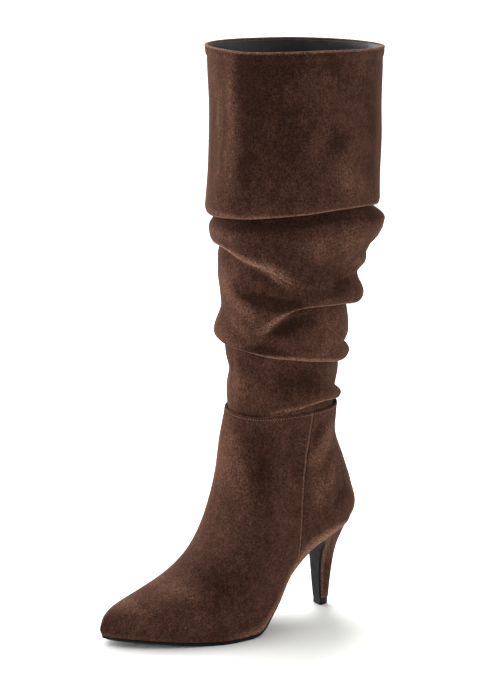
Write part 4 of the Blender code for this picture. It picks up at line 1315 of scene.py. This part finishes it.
@dataclass
class FootPart:
    """The suede foot part on the last, with its rim, side seam and stitches.

    ground is the height of the last's lowest line over the floor, core a point inside, and nose how far the
    toe's tip is rounded out. seam_line gives X and height along the outer side seam. Under the zip the inner
    side has a short seam, at inner_seam. The rim dips by dip about the point dip_at, over dip_reach.
    ankle_axis is the X of the ankle's upright middle line, and from upright_row on the rows only rise.
    """

    length: float = 240.0
    ball_width: float = 82.0
    heel_height: float = 72.0
    ankle_height: float = 184.0
    ground: float = 2.95
    wall: float = 1.6
    rows: int = 190
    upright_row: int = 110
    turns: int = 40
    core: Place = (75.0, 0.0, 80.0)
    ankle_axis: float = 70.0
    stitch_drop: float = 2.0
    nose: float = 0.9
    seam_line: tuple[tuple[float, float], ...] = (
        (73.6, 44.0), (72.2, 61.0), (70.6, 92.0), (69.4, 110.0), (67.2, 135.0), (65.4, 161.0),
        (63.8, 175.0), (62.9, 190.0),
    )
    inner_seam: float = 70.5
    zip_foot: float = 73.0
    dip: float = 2.2
    dip_at: tuple[float, float] = (108.0, 26.0)
    dip_reach: tuple[float, float] = (26.0, 30.0)

    def sections(self, places: Array) -> FootSection:
        """The last's sections at fractional row numbers, in millimetres."""
        scale = {
            "along": self.length,
            "lift": self.heel_height - self.ground,
            "top_along": self.length,
            "top_rise": self.ankle_height,
            "girth_at": 1.0,
            "fullness": 1.0,
            "cup": 1.0,
        }
        columns = {}
        for name, column in zip(FootSection._fields, zip(*FOOT_SECTIONS)):
            columns[name] = smooth(column, places) * scale.get(name, self.ball_width / 2)
        columns["lift"] = columns["lift"] + self.ground
        return FootSection(**columns)

    def net(self, places: Array) -> Array:
        """Points of the outer face, one arch for each section, from the outer edge to the inner edge.

        Args:
            places: Fractional row numbers of the sections.

        Returns:
            Rows by columns by three coordinates.
        """
        row = FootSection(*(column[:, None] for column in self.sections(places)))
        turn = np.radians(np.linspace(-90.0, 90.0, self.turns + 1))[None]
        low = turn < 0
        share = row.girth_at + np.where(low, row.girth_at, 1 - row.girth_at) * np.sin(turn)
        x = row.along + share * (row.top_along - row.along)
        x = x + self.nose * np.exp(-((places[:, None] / 0.6) ** 2)) * np.sin(math.pi * share)
        z = row.lift + share * (row.top_rise - row.lift)
        sides = []
        for edge, girth in ((row.outer, row.girth_outer), (row.inner, row.girth_inner)):
            start = np.where(low, edge, row.swing)
            width = np.maximum(np.cos(turn), 0.0) ** np.where(low, row.cup, row.fullness)
            sides.append(np.stack([x, start + (girth - start) * width, z], axis=-1))
        return np.concatenate([sides[0], sides[1][:, -2::-1]], axis=1)

    def places(self) -> Array:
        """Row numbers of the sections, closer together at the toe."""
        even = np.linspace(0.0, 1.0, self.rows + 1)
        return (len(FOOT_SECTIONS) - 1) * (0.25 * even**2 + 0.75 * even)

    def shaped(self) -> Array:
        """The outer face with the dip of its rim and its soft dents."""
        points = self.net(self.places())
        last = len(FOOT_SECTIONS) - 1
        near_rim = ease((self.places() - (last - 3.0)) / 3.0)[:, None]
        away = (points[..., :2] - np.array(self.dip_at)) / np.array(self.dip_reach)
        points[..., 2] -= self.dip * near_rim * np.exp(-(away[..., 0] ** 2) - away[..., 1] ** 2)
        outer = ease(points[..., 1] / 12.0)
        points[..., 1] += outer * crease_lift(FOOT_DENTS, points[..., 0], points[..., 2])
        return points

    def seam_marks(self, points: Array) -> Array:
        """Distance of each point of the outer face from the side seams, behind the toe."""
        x, y, z = (points[..., k] for k in range(3))
        heights, places = (np.array(self.seam_line)[:, k] for k in (1, 0))
        outer = x - np.interp(z, heights, places)
        inner = np.where(z < self.zip_foot, x - self.inner_seam, SEAM_REACH)
        beside = np.where(y > 0, outer, inner)
        behind = self.places()[:, None] > 6.0
        return np.clip(np.where(behind, beside, SEAM_REACH), -SEAM_REACH, SEAM_REACH)

    def seat_highlight(self, points: Array) -> tuple[Array, Array]:
        """Painted highlight along the lower edge, for light from the floor and partly paler stretched nap,
        strongest from the waist to the heel's seat.

        Args:
            points: The outer face.

        Returns:
            The painted lighter tone and the painted pale mark of each point.
        """
        places = self.places()[:, None]
        runs = np.linalg.norm(np.diff(points, axis=1), axis=2)
        run = np.concatenate([np.zeros((len(points), 1)), np.cumsum(runs, axis=1)], axis=1)
        from_edge = np.minimum(run, run[:, -1:] - run)
        waist = ease((places - 6.5) / 2.0) * ease((14.4 - places) / 0.8)
        band = 6.5 + 7.5 * ease((places - 8.5) / 3.0)
        tone = 1.6 * waist * ease((band + 4.0 - from_edge) / 8.0)
        rub_and_highlight = (0.12 + 0.80 * waist) * ease((band - from_edge) / 5.0) * ease((14.6 - places) / 0.8)
        return tone, rub_and_highlight

    def build_suede(self, shop: Workshop) -> BMesh:
        """Build the hollow suede wall.

        Returns:
            A copy of the outer face, for pieces that lie on it.
        """
        points = self.shaped()
        x, y, z = (points[..., k] for k in range(3))
        # Painted highlight along the lower edge, partly paler stretched nap
        tone, rub_and_highlight = self.seat_highlight(points)
        # The nap mark: patches of painted light and shade partly the nap's own tone, painted highlights and
        # shade along the dents on the outer side, and the lower edge's painted highlight
        nap = patch_tone(FOOT_SHADING_PATCHES, x, z, False) + (y > 0) * crease_lift(FOOT_PAINTED_SHADING, x, z) + tone
        bm = skin(points, False, {"rub_and_highlight": rub_and_highlight, "nap": nap, "seam": self.seam_marks(points)})
        face_from(bm, self.core)
        face = bm.copy()
        made = shop.piece("foot_suede", bm, SUEDE, stands_for=["upper"], sharp=80.0)
        wall = made.modifiers.new("wall", "SOLIDIFY")
        wall.thickness = self.wall * MM
        wall.offset = -1.0
        return face

    def build_lining(self, shop: Workshop) -> None:
        """Build the black lining inside the suede wall, which ends below the rim."""
        bm = skin(self.shaped()[6:-24:2], False)
        face_from(bm, self.core)
        bm.normal_update()
        for vert in bm.verts:
            vert.co -= vert.normal * (self.wall + 0.3)
        bmesh.ops.reverse_faces(bm, faces=bm.faces)
        shop.piece("foot_lining", bm, LINING, sharp=80.0)

    def build_stitches(self, shop: Workshop) -> None:
        """Sew the row of pale stitches below the rim."""
        points = self.shaped()[self.upright_row :]
        line = []
        for column in range(points.shape[1]):
            upright = points[:, column]
            height = upright[-1, 2] - self.stitch_drop
            line.append([np.interp(height, upright[:, 2], upright[:, k]) for k in range(3)])
        line = np.array(line[:-1])
        outwards = line - np.array([self.ankle_axis, 0.0, 0.0])
        outwards[:, 2] = 0.0
        bm = bmesh.new()
        ANKLE_ROW.sew(bm, line, outwards, True)
        shop.piece("ankle_stitches", bm, PALE_THREAD, sharp=180.0)

    def build(self, shop: Workshop) -> BMesh:
        """Build all pieces of the foot part.

        Returns:
            A copy of the outer face, for the zip.
        """
        face = self.build_suede(shop)
        self.build_lining(shop)
        self.build_stitches(shop)
        return face


@dataclass
class Underside:
    """The black sole, the covered heel, its tip, and the sock inside the foot part.

    fullness is the power of the heel's rounded back, and bend_row the row of the last where the sole leaves
    the foot and bends down. ball gives both ends of the flat part of the sole as shares of its length.
    """

    foot: FootPart
    sole_edge: float = 2.6
    tip_height: float = 6.0
    fullness: float = 2.3
    bend_row: float = 11.6
    flat_steps: int = 90
    turn_steps: int = 26
    heel_steps: int = 70
    heel_sides: int = 44
    ball: tuple[float, float] = (0.49, 0.70)
    edge_round: float = 0.75
    rubbed: float = 0.35
    sock_thick: float = 2.2
    sock_dish: float = 0.7

    def heel_line(self, heights: Array) -> tuple[Array, Array, Array]:
        """Breast position, outer edge and inner edge of the heel at heights of its breast."""
        table = np.array(HEEL_SECTIONS)[::-1]
        places = np.interp(heights, table[:, 1], np.arange(len(table)))
        breast, half, middle = (smooth(table[:, column], places) for column in (0, 4, 5))
        return breast, middle + half, middle - half

    def sole_path(self) -> Array:
        """Hidden face of the sole from toe to heel tip.

        Returns:
            For each step x, z, outer edge, inner edge and thickness.
        """
        places = self.bend_row * np.linspace(0.0, 1.0, self.flat_steps) ** 1.25
        rows = self.foot.sections(places)
        waist = np.clip((places - 7) / 3, 0, 1)
        toe = np.clip(1 - places / 5, 0, 1)
        margin = 0.7 - 2.0 * waist
        thick = self.sole_edge - 0.4 * waist - 1.0 * toe
        outer, inner = rows.outer + margin, rows.inner - margin
        path = np.stack([rows.along, rows.lift - GAP, outer, inner, thick], axis=1)
        heights = np.linspace(HEEL_SECTIONS[2].breast_z + 2.0, self.tip_height + 0.4, self.turn_steps)
        breast, outer, inner = self.heel_line(heights)
        flap = np.stack([breast - HEEL_FLAP, heights, outer, inner, HEEL_FLAP + 0 * heights], axis=1)
        # A curve with one corner point leads from the waist to the flap on the heel's breast
        seat = HEEL_SECTIONS[0]
        corner = np.array([seat.breast - HEEL_FLAP, seat.breast_z + 0.6, 22.5, -22.0, HEEL_FLAP])
        u = np.linspace(0, 1, self.turn_steps)[1:, None]
        bend = (1 - u) ** 2 * path[-1] + 2 * u * (1 - u) * corner + u * u * flap[0]
        return np.vstack([path, bend, flap[1:]])

    def build_sole(self, shop: Workshop) -> None:
        """Build the thin sole with its rounded edge, turned down over the breast of the heel."""
        path = self.sole_path()
        step = np.gradient(path[:, :2], axis=0)
        step /= np.linalg.norm(step, axis=1)[:, None]
        face_x = path[:, 0] - step[:, 1] * path[:, 4]
        face_z = path[:, 1] + step[:, 0] * path[:, 4]
        back, front = (share * self.foot.length for share in self.ball)
        ball = ease((path[:, 0] - back) / 10.0) * ease((front - path[:, 0]) / 10.0)
        face_z = np.maximum(face_z, 0.0) * (1 - ball)
        # Each slice runs down the outer edge, across the lower face and up the inner edge
        profile = ((0.0, 0.0), (0.35, 0.0), (0.65, 0.0), (0.82, 0.12), (0.94, 0.35), (1.0, self.edge_round))
        across = np.linspace(0.0, 1.0, 15)[1:-1]
        rings = []
        for (x, z, outer, inner, _), low_x, low_z in zip(path, face_x, face_z):
            edge = [(x + deep * (low_x - x), tuck, z + deep * (low_z - z)) for deep, tuck in profile]
            ring = [(edge_x, outer - tuck, edge_z) for edge_x, tuck, edge_z in edge]
            for share in across:
                y = (outer - self.edge_round) * (1 - share) + (inner + self.edge_round) * share
                ring.append((low_x, y, low_z))
            ring += [(edge_x, inner + tuck, edge_z) for edge_x, tuck, edge_z in reversed(edge)]
            rings.append(ring)
        bm = skin(np.array(rings), True)
        close_ends(bm)
        shop.piece("sole_black", bm, SOLE, stands_for=["outsole"], sharp=60.0)

    def heel_ring(self, section: HeelSection, front: float) -> Array:
        """One slice of the heel: flat across the breast and rounded behind it."""
        turn = np.radians(np.linspace(-90.0, 90.0, self.heel_sides + 1))
        depth = np.abs(np.cos(turn)) ** (2 / self.fullness)
        x = front - (front - section.back) * depth
        y = section.middle + section.half_width * np.sign(turn) * np.abs(np.sin(turn)) ** (2 / self.fullness)
        z = section.breast_z + (section.back_z - section.breast_z) * (front - x) / (front - section.back)
        return np.stack([x, y, z], axis=1)

    def build_heel(self, shop: Workshop) -> None:
        """Build the slim heel, covered in suede with a rubbed foot."""
        places = np.linspace(0, len(HEEL_SECTIONS) - 1, self.heel_steps)
        columns = [smooth(column, places) for column in zip(*HEEL_SECTIONS)]
        turned = self.sole_path()[self.flat_steps - 1 :][::-1]
        rings = []
        for values in zip(*columns):
            section = HeelSection(*values)
            # The slice is carried on to where it meets the hidden face of the turned sole
            face = section.breast - HEEL_FLAP
            slope = (section.back_z - section.breast_z) / (face - section.back)
            above = turned[:, 1] + slope * (turned[:, 0] - face) - section.breast_z
            front = float(np.interp(0.0, above, turned[:, 0]))
            section = section._replace(breast_z=section.breast_z - slope * (front - face))
            rings.append(self.heel_ring(section, front + 0.1))
        points = np.array(rings)
        rub_and_highlight = np.repeat((self.rubbed * ease((places - 5.6) / 0.4))[:, None], points.shape[1], axis=1)
        rub_and_highlight[:, :3] = self.rubbed
        rub_and_highlight[:, -3:] = self.rubbed
        # The cover's tone: slow waves, and paler towards the top
        waves = 0.25 * np.sin(points[..., 2] / 9.0 + points[..., 1] / 5.0)
        nap = waves + 0.5 * ease((points[..., 2] - 48.0) / 24.0)
        bm = skin(points, True, {"rub_and_highlight": rub_and_highlight, "nap": nap})
        close_ends(bm)
        shop.piece("heel_cover", bm, HEEL_SUEDE, stands_for=["heel"], sharp=50.0)

    def build_tip(self, shop: Workshop) -> None:
        """Build the glossy black top piece under the heel, with softened edges."""
        last = HEEL_SECTIONS[-1]
        rings = []
        top = self.tip_height
        profile = (
            (top, 0.75), (top - 0.25, 0.55), (top - 0.6, 0.5),
            (1.0, 0.5), (0.5, 0.6), (0.15, 0.85), (0.0, 1.3),
        )
        for height, shrink in profile:
            section = last._replace(
                breast_z=height, back_z=height, back=last.back + shrink, half_width=last.half_width - shrink
            )
            rings.append(self.heel_ring(section, last.breast - shrink))
        bm = skin(np.array(rings), True)
        close_ends(bm)
        shop.piece("heel_tip", bm, TIP, stands_for=["heel_top_piece"], sharp=50.0)

    def build_sock(self, shop: Workshop) -> None:
        """Build the sock board, slightly dished, inside the foot part."""
        places = np.linspace(1.7, 13.3, 80)
        rows = self.foot.sections(places)
        ends = np.clip(3.0 - places, 0, 1) + np.clip(places - 12.0, 0, 2) ** 2
        inset = 2.8 + 2.6 * ends
        shares = np.linspace(0.0, 1.0, 13)
        tops = self.sock_thick - self.sock_dish * np.sin(math.pi * shares)
        rings = []
        for x, z, outer, inner in zip(rows.along, rows.lift + GAP, rows.outer - inset, rows.inner + inset):
            top = [(x, outer + (inner - outer) * share, z + thick) for share, thick in zip(shares, tops)]
            rings.append([(x, outer, z), *top, (x, inner, z)])
        bm = skin(np.array(rings), True)
        close_ends(bm)
        shop.piece("sock_board", bm, SOCK, stands_for=["insole"])

    def build(self, shop: Workshop) -> None:
        """Build all pieces under the foot."""
        self.build_sole(shop)
        self.build_heel(shop)
        self.build_tip(shop)
        self.build_sock(shop)


@dataclass
class ZipFastener:
    """The closed zip on the inner side: tape, teeth, suede welts, slider and swinging pull.

    face is the foot part's outer face, along the X of the zip's middle, and foot and top its two ends.
    """

    face: BMesh
    along: float = 69.0
    foot: float = 72.0
    top: float = 174.0
    tape_half: tuple[tuple[float, float], ...] = ((0.4, 0.18), (1.6, 0.22), (2.9, 0.10), (3.2, -0.3))
    pitch: float = 1.7
    tooth: Place = (1.35, 0.42, 0.50)
    tooth_lean: float = 14.0
    welt_over: float = 4.0
    welt_half: float = 0.95
    welt_proud: float = 0.85
    welt_steps: int = 64
    seam_over: float = 6.6
    seam_below: float = 3.6
    slider_size: Place = (8.4, 11.0, 2.4)
    slider_drop: float = 1.5
    slider_narrow: float = 0.66
    slider_notch: float = 1.6
    lug: float = 1.3
    pull_width: float = 4.4
    pull_thick: float = 1.6
    pull_outline: tuple[tuple[float, float], ...] = (
        (0.80, -0.35), (1.50, -1.6), (1.7, -3.6), (2.0, -6.0), (2.7, -9.0), (2.95, -12.0),
        (3.0, -18.0), (3.0, -23.0), (2.7, -24.8), (1.9, -25.7), (0.9, -26.0),
    )
    eye: float = 1.5
    bore: float = 0.86
    axle: float = 0.6

    def __post_init__(self) -> None:
        """Keep the face of the foot part for finding points on it."""
        self.surface = BVHTree.FromBMesh(self.face)

    def at(self, along: float, height: float, proud: float = 0.0) -> Vector:
        """Point on the inner side of the foot part, standing proud of it."""
        hit = self.surface.ray_cast(Vector((along, -300.0, height)), Vector((0, 1, 0)))[0]
        return hit + Vector((0, -proud, 0))

    def out(self, along: float, height: float, reach: float = 3.0) -> Vector:
        """Outward direction of the foot part over a small patch."""
        over = self.at(along + reach, height) - self.at(along - reach, height)
        rise = self.at(along, height + reach) - self.at(along, height - reach)
        return over.cross(rise).normalized()

    def strip(self, columns: Sequence[tuple[float, float]], low: float, high: float, steps: int) -> Array:
        """Rows of points of a strip along the zip.

        Args:
            columns: Place across the zip and stand off the face for each column.
            low: Height of its lower end.
            high: Height of its upper end.
            steps: Number of rows.

        Returns:
            Rows by columns by three coordinates.
        """
        heights = np.linspace(low, high, steps)
        return np.array([[self.at(self.along + over, z, proud) for over, proud in columns] for z in heights])

    def face_out(self, bm: BMesh) -> None:
        """Turn the faces of an open strip towards the inner side of the foot."""
        for face in bm.faces:
            if face.normal.y > 0:
                face.normal_flip()

    def build_tape(self, shop: Workshop) -> None:
        """Build the two woven tapes with a narrow valley between them."""
        columns = [(-over, proud) for over, proud in reversed(self.tape_half)] + list(self.tape_half)
        bm = skin(self.strip(columns, self.foot, self.top, 60), False)
        self.face_out(bm)
        shop.piece("zip_tape", bm, TAPE, stands_for=["zip_chain"])

    def build_teeth(self, shop: Workshop) -> None:
        """Build the meshed coil as two rows of short bent bars that interlock along the middle."""
        bm = bmesh.new()
        count = int((self.top - self.foot - 3.0) / self.pitch)
        for number in range(count):
            for side in (-1, 1):
                height = self.foot + 1.5 + self.pitch * (number + (0.5 if side > 0 else 0.0))
                point = self.at(self.along + side * 0.55, height, 0.30)
                lean = Matrix.Rotation(math.radians(self.tooth_lean * side), 4, "Y")
                place = Matrix.Translation(point) @ lean @ Matrix.Diagonal((*self.tooth, 1.0))
                bmesh.ops.create_uvsphere(bm, u_segments=8, v_segments=5, radius=1.0, matrix=place)
        shop.piece("zip_teeth", bm, COIL, sharp=180.0)

    def build_welts(self, shop: Workshop) -> None:
        """Build the turned suede edges beside the tape, which sink into the suede at both ends."""
        steps = np.arange(self.welt_steps)
        sunk = 0.8 * (1 - ease(np.minimum(steps, steps[::-1]) / 3.0))
        for side, name in ((-1, "back"), (1, "front")):
            columns = []
            for turn in np.radians(np.linspace(0, 180, 9)):
                over = self.welt_over - self.welt_half * math.cos(turn)
                columns.append((side * over, self.welt_proud * math.sin(turn) - 0.25))
            points = self.strip(columns, self.foot - 2.0, self.top + 2.5, self.welt_steps)
            points[..., 1] += sunk[:, None]
            rub_and_highlight = np.zeros(points.shape[:2])
            rub_and_highlight[:, 1:4] = 0.30
            bm = skin(points, False, {"rub_and_highlight": rub_and_highlight})
            self.face_out(bm)
            shop.piece(f"zip_welt_{name}", bm, HEEL_SUEDE)

    def build_stitches(self, shop: Workshop) -> None:
        """Sew the welts down on both sides, and across below the foot of the zip."""
        bm = bmesh.new()
        heights = np.linspace(self.foot - 1.0, self.top - 1.0, 120)
        for side in (-1, 1):
            along = self.along + side * self.seam_over
            line = np.array([self.at(along, z) for z in heights])
            outwards = np.array([self.out(along, z) for z in heights])
            ZIP_ROW.sew(bm, line, outwards, False)
        low = self.foot - self.seam_below
        places = self.along + np.linspace(-self.seam_over, self.seam_over, 30)
        line = np.array([self.at(along, low) for along in places])
        outwards = np.array([self.out(self.along, low)] * len(places))
        ZIP_END_ROW.sew(bm, line, outwards, False)
        shop.piece("zip_stitches", bm, BROWN_THREAD, sharp=180.0)

    def build_stops(self, shop: Workshop) -> None:
        """Build the small metal stops at both ends of the teeth."""
        bm = bmesh.new()
        for height, tall in ((self.foot + 1.4, 2.4), (self.top - 0.6, 1.6)):
            place = Matrix.Translation(self.at(self.along, height, 0.45))
            bmesh.ops.create_cube(bm, size=1.0, matrix=place @ Matrix.Diagonal((3.8, 1.0, tall, 1.0)))
        soften(bm, bm.edges[:], 0.28, 3)
        shop.piece("zip_stops", bm, METAL)

    def hanger(self, shop: Workshop) -> tuple[Matrix, Matrix]:
        """Where the slider and the pull sit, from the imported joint.

        Returns:
            The place of the slider, tilted with the face, and the place of the hanging pull.
        """
        joint = frame["joints"][0]
        pivot = shop.local(joint["pos_m"])
        across = -Vector(joint["axis"]).normalized()
        up = Vector((0, 0, 1))
        level_out = across.cross(up).normalized()
        out = self.out(self.along, self.top - 7.0, 4.0)
        out = (out - across * out.dot(across)).normalized()
        tilted = Matrix((across, out.cross(across), out)).transposed().to_4x4()
        upright = Matrix((across, up, level_out)).transposed().to_4x4()
        return Matrix.Translation(pivot) @ tilted, Matrix.Translation(pivot) @ upright

    def build_slider(self, shop: Workshop, place: Matrix) -> None:
        """Build the slider: a rounded wedge body, its two lugs and the axle between them."""
        drop = self.slider_drop
        deck = -self.eye - GAP
        bm = bmesh.new()
        body = Matrix.Translation((0, -drop, deck - self.slider_size[2] / 2))
        bmesh.ops.create_cube(bm, size=1.0, matrix=body @ Matrix.Diagonal((*self.slider_size, 1.0)))
        for vert in bm.verts:
            if vert.co.y < -drop:
                vert.co.x *= self.slider_narrow
        bmesh.ops.subdivide_edges(bm, edges=bm.edges[:], cuts=1, use_grid_fill=True)
        for vert in bm.verts:
            if vert.co.y > -drop + 5.0 and abs(vert.co.x) < 0.1:
                vert.co.y -= self.slider_notch
        soften(bm, steep_edges(bm.edges[:], 30), 0.55, 3)
        reach = self.pull_width / 2 + GAP
        lying = Matrix.Rotation(math.pi / 2, 4, "Y")
        for side in (-1, 1):
            verts = bmesh.ops.create_cone(
                bm, cap_ends=True, segments=24, radius1=self.eye, radius2=self.eye, depth=self.lug,
                matrix=Matrix.Translation((side * (reach + self.lug / 2), 0, 0)) @ lying,
            )["verts"]
            for vert in verts:
                if vert.co.z < 0:
                    vert.co.z = deck - 0.4
            edges = dict.fromkeys(edge for vert in verts for edge in vert.link_edges)
            soften(bm, steep_edges(list(edges), 60), 0.18, 2)
        bmesh.ops.create_cone(
            bm, cap_ends=True, segments=24, radius1=self.axle, radius2=self.axle, depth=2 * reach + 1.0,
            matrix=lying,
        )
        bmesh.ops.transform(bm, matrix=place, verts=bm.verts)
        bmesh.ops.recalc_face_normals(bm, faces=bm.faces)
        shop.piece("zip_slider_body", bm, METAL, stands_for=["zip_slider"], sharp=40.0)

    def build_pull(self, shop: Workshop, place: Matrix) -> None:
        """Build the pull: a bored eye on the axle and a waisted tab with a sunk panel on both faces."""
        bm = bmesh.new()
        ring = list(self.pull_outline) + [(-x, y) for x, y in reversed(self.pull_outline)]
        face = bm.faces.new([bm.verts.new((x, y, -self.pull_thick / 2)) for x, y in ring])
        lifted = bmesh.ops.extrude_face_region(bm, geom=[face])
        moved = [item for item in lifted["geom"] if isinstance(item, bmesh.types.BMVert)]
        bmesh.ops.translate(bm, vec=(0, 0, self.pull_thick), verts=moved)
        bmesh.ops.recalc_face_normals(bm, faces=bm.faces)
        soften(bm, steep_edges(bm.edges[:], 60), 0.22, 3)
        broad = [face for face in bm.faces if len(face.verts) > 12]
        bmesh.ops.inset_region(bm, faces=broad, thickness=0.75, depth=0.0)
        bmesh.ops.inset_region(bm, faces=broad, thickness=0.22, depth=-0.28)
        eye = bmesh.new()
        half = self.pull_width / 2
        side = ((self.bore, half), (self.eye - 0.18, half), (self.eye, half - 0.2))
        profile = [(radius, -along) for radius, along in side] + list(reversed(side))
        verts = [eye.verts.new((along, 0, radius)) for radius, along in profile]
        edges = [eye.edges.new((a, b)) for a, b in zip(verts, verts[1:] + verts[:1])]
        bmesh.ops.spin(
            eye, geom=verts + edges, cent=(0, 0, 0), axis=(1, 0, 0), angle=2 * math.pi, steps=32,
            use_merge=True,
        )
        bmesh.ops.remove_doubles(eye, verts=eye.verts, dist=0.001)
        bmesh.ops.recalc_face_normals(eye, faces=eye.faces)
        spare = bpy.data.meshes.new("pull_eye")
        eye.to_mesh(spare)
        eye.free()
        bm.from_mesh(spare)
        bpy.data.meshes.remove(spare)
        bmesh.ops.transform(bm, matrix=place, verts=bm.verts)
        shop.piece("zip_pull_tab", bm, METAL, Body.PULL, ["zip_pull"], 40.0)

    def build(self, shop: Workshop) -> None:
        """Build all pieces of the zip."""
        self.build_tape(shop)
        self.build_teeth(shop)
        self.build_welts(shop)
        self.build_stitches(shop)
        self.build_stops(shop)
        slider, pull = self.hanger(shop)
        self.build_slider(shop, slider)
        self.build_pull(shop, pull)
        self.face.free()


class SoftBox(NamedTuple):
    """A square soft light: its place and aim in metres, its side in metres and its power in watts."""

    name: str
    place: Place
    aim: Place
    side: float
    power: float


class Glow(NamedTuple):
    """A bright part of the sky: its direction, the cosine at which it starts, and its strength."""

    direction: Place
    start: float
    power: float


MIDDLE = (0.0, 0.0, 0.25)
SOFT_BOXES = (
    SoftBox("left_softbox", (0.95, -1.35, 1.5), MIDDLE, 1.6, 13.0),
    SoftBox("right_softbox", (-1.45, 0.85, 1.3), MIDDLE, 1.6, 5.0),
    SoftBox("back_softbox", (-0.6, -1.0, 1.5), MIDDLE, 0.7, 30.0),
    SoftBox("low_softbox", (-0.45, 0.95, 0.05), (-0.07, 0.0, 0.08), 0.3, 4.0),
)
GLOWS = (
    Glow((0.54, -0.77, 0.34), 0.15, 3.15),
    Glow((-0.81, 0.47, 0.34), 0.30, 0.75),
)


@dataclass
class Studio:
    """Pale floor, sky, soft lights and the camera, whose eye and aim are in the boot's millimetres."""

    eye: Place = (984.0, 1424.7, 613.55)
    aim: Place = (107.87, -3.41, 241.25)
    lens: float = 109.28
    sensor: float = 36.0
    fill: float = 0.30
    floor_radius: float = 16.0
    floor_dark: Colour = (0.795, 0.800, 0.778)
    floor_light: Colour = (0.815, 0.820, 0.798)

    def build_floor(self) -> None:
        """Lay a wide pale floor, which glows more away from the boot, so that it melts into the backdrop."""
        bm = bmesh.new()
        bmesh.ops.create_circle(bm, cap_ends=True, segments=96, radius=self.floor_radius)
        mesh = bpy.data.meshes.new("floor")
        bm.to_mesh(mesh)
        bm.free()
        made, graph, shader = start_material("pale_floor")
        cloud = graph.noise(graph.coords(), 2.0, 2.0, 0.5)
        graph.feed(shader.inputs["Base Color"], graph.blend(cloud, self.floor_dark, self.floor_light))
        shader.inputs["Roughness"].default_value = 0.8
        shader.inputs["Specular IOR Level"].default_value = 0.0
        shader.inputs["Emission Color"].default_value = (1.0, 1.0, 1.0, 1.0)
        spread = graph.node("ShaderNodeVectorMath", operation="LENGTH")
        graph.feed(spread.inputs[0], graph.coords())
        glow = graph.span(spread.outputs["Value"], 0.3, 1.6, 0.02, 0.52)
        graph.feed(shader.inputs["Emission Strength"], glow)
        mesh.materials.append(made)
        floor = bpy.data.objects.new("floor", mesh)
        bpy.context.scene.collection.objects.link(floor)

    def build_light(self, box: SoftBox) -> None:
        """Hang one soft light."""
        data = bpy.data.lights.new(box.name, "AREA")
        data.size = box.side
        data.energy = box.power
        light = bpy.data.objects.new(box.name, data)
        light.location = box.place
        light.rotation_euler = (Vector(box.aim) - Vector(box.place)).to_track_quat("-Z", "Y").to_euler()
        bpy.context.scene.collection.objects.link(light)

    def build_sky(self) -> None:
        """Light the boot from an even sky with its glows, and show it as white to the camera."""
        world = bpy.data.worlds.new("studio")
        bpy.context.scene.world = world
        world.use_nodes = True
        sky = world.node_tree.nodes["Background"]
        sky.inputs["Color"].default_value = (1.0, 1.0, 1.0, 1.0)
        graph = Graph(world.node_tree)
        total: Feed = self.fill
        for glow in GLOWS:
            facing = graph.node("ShaderNodeVectorMath", operation="DOT_PRODUCT")
            graph.feed(facing.inputs[0], graph.node("ShaderNodeTexCoord").outputs["Generated"])
            facing.inputs[1].default_value = Vector(glow.direction).normalized()
            bright = graph.span(facing.outputs["Value"], glow.start, 1.0, 0.0, glow.power)
            total = graph.calc("ADD", total, bright)
        seen = graph.node("ShaderNodeLightPath").outputs["Is Camera Ray"]
        graph.feed(sky.inputs["Strength"], graph.calc("MAXIMUM", total, seen))

    def build_camera(self, shop: Workshop) -> None:
        """Set up the camera that took the photo."""
        data = bpy.data.cameras.new("camera")
        data.lens = self.lens
        data.sensor_width = self.sensor
        camera = bpy.data.objects.new("camera", data)
        camera.location = Vector(self.eye) * MM + shop.shift
        aim = Vector(self.aim) * MM + shop.shift
        camera.rotation_euler = (aim - camera.location).to_track_quat("-Z", "Y").to_euler()
        bpy.context.scene.collection.objects.link(camera)
        bpy.context.scene.camera = camera

    def build(self, shop: Workshop) -> None:
        """Set up floor, sky, lights and camera."""
        self.build_floor()
        self.build_sky()
        for box in SOFT_BOXES:
            self.build_light(box)
        bpy.context.scene.view_settings.view_transform = "Standard"
        self.build_camera(shop)


def main() -> None:
    """Build the dressed boot piece by piece, then the studio round it."""
    logging.basicConfig(level=logging.INFO, format="%(name)s %(message)s")
    shop = Workshop()
    Shaft().build(shop)
    foot = FootPart()
    face = foot.build(shop)
    Underside(foot).build(shop)
    ZipFastener(face).build(shop)
    Studio().build(shop)
    bpy.context.view_layer.update()


if __name__ == "__main__":
    main()
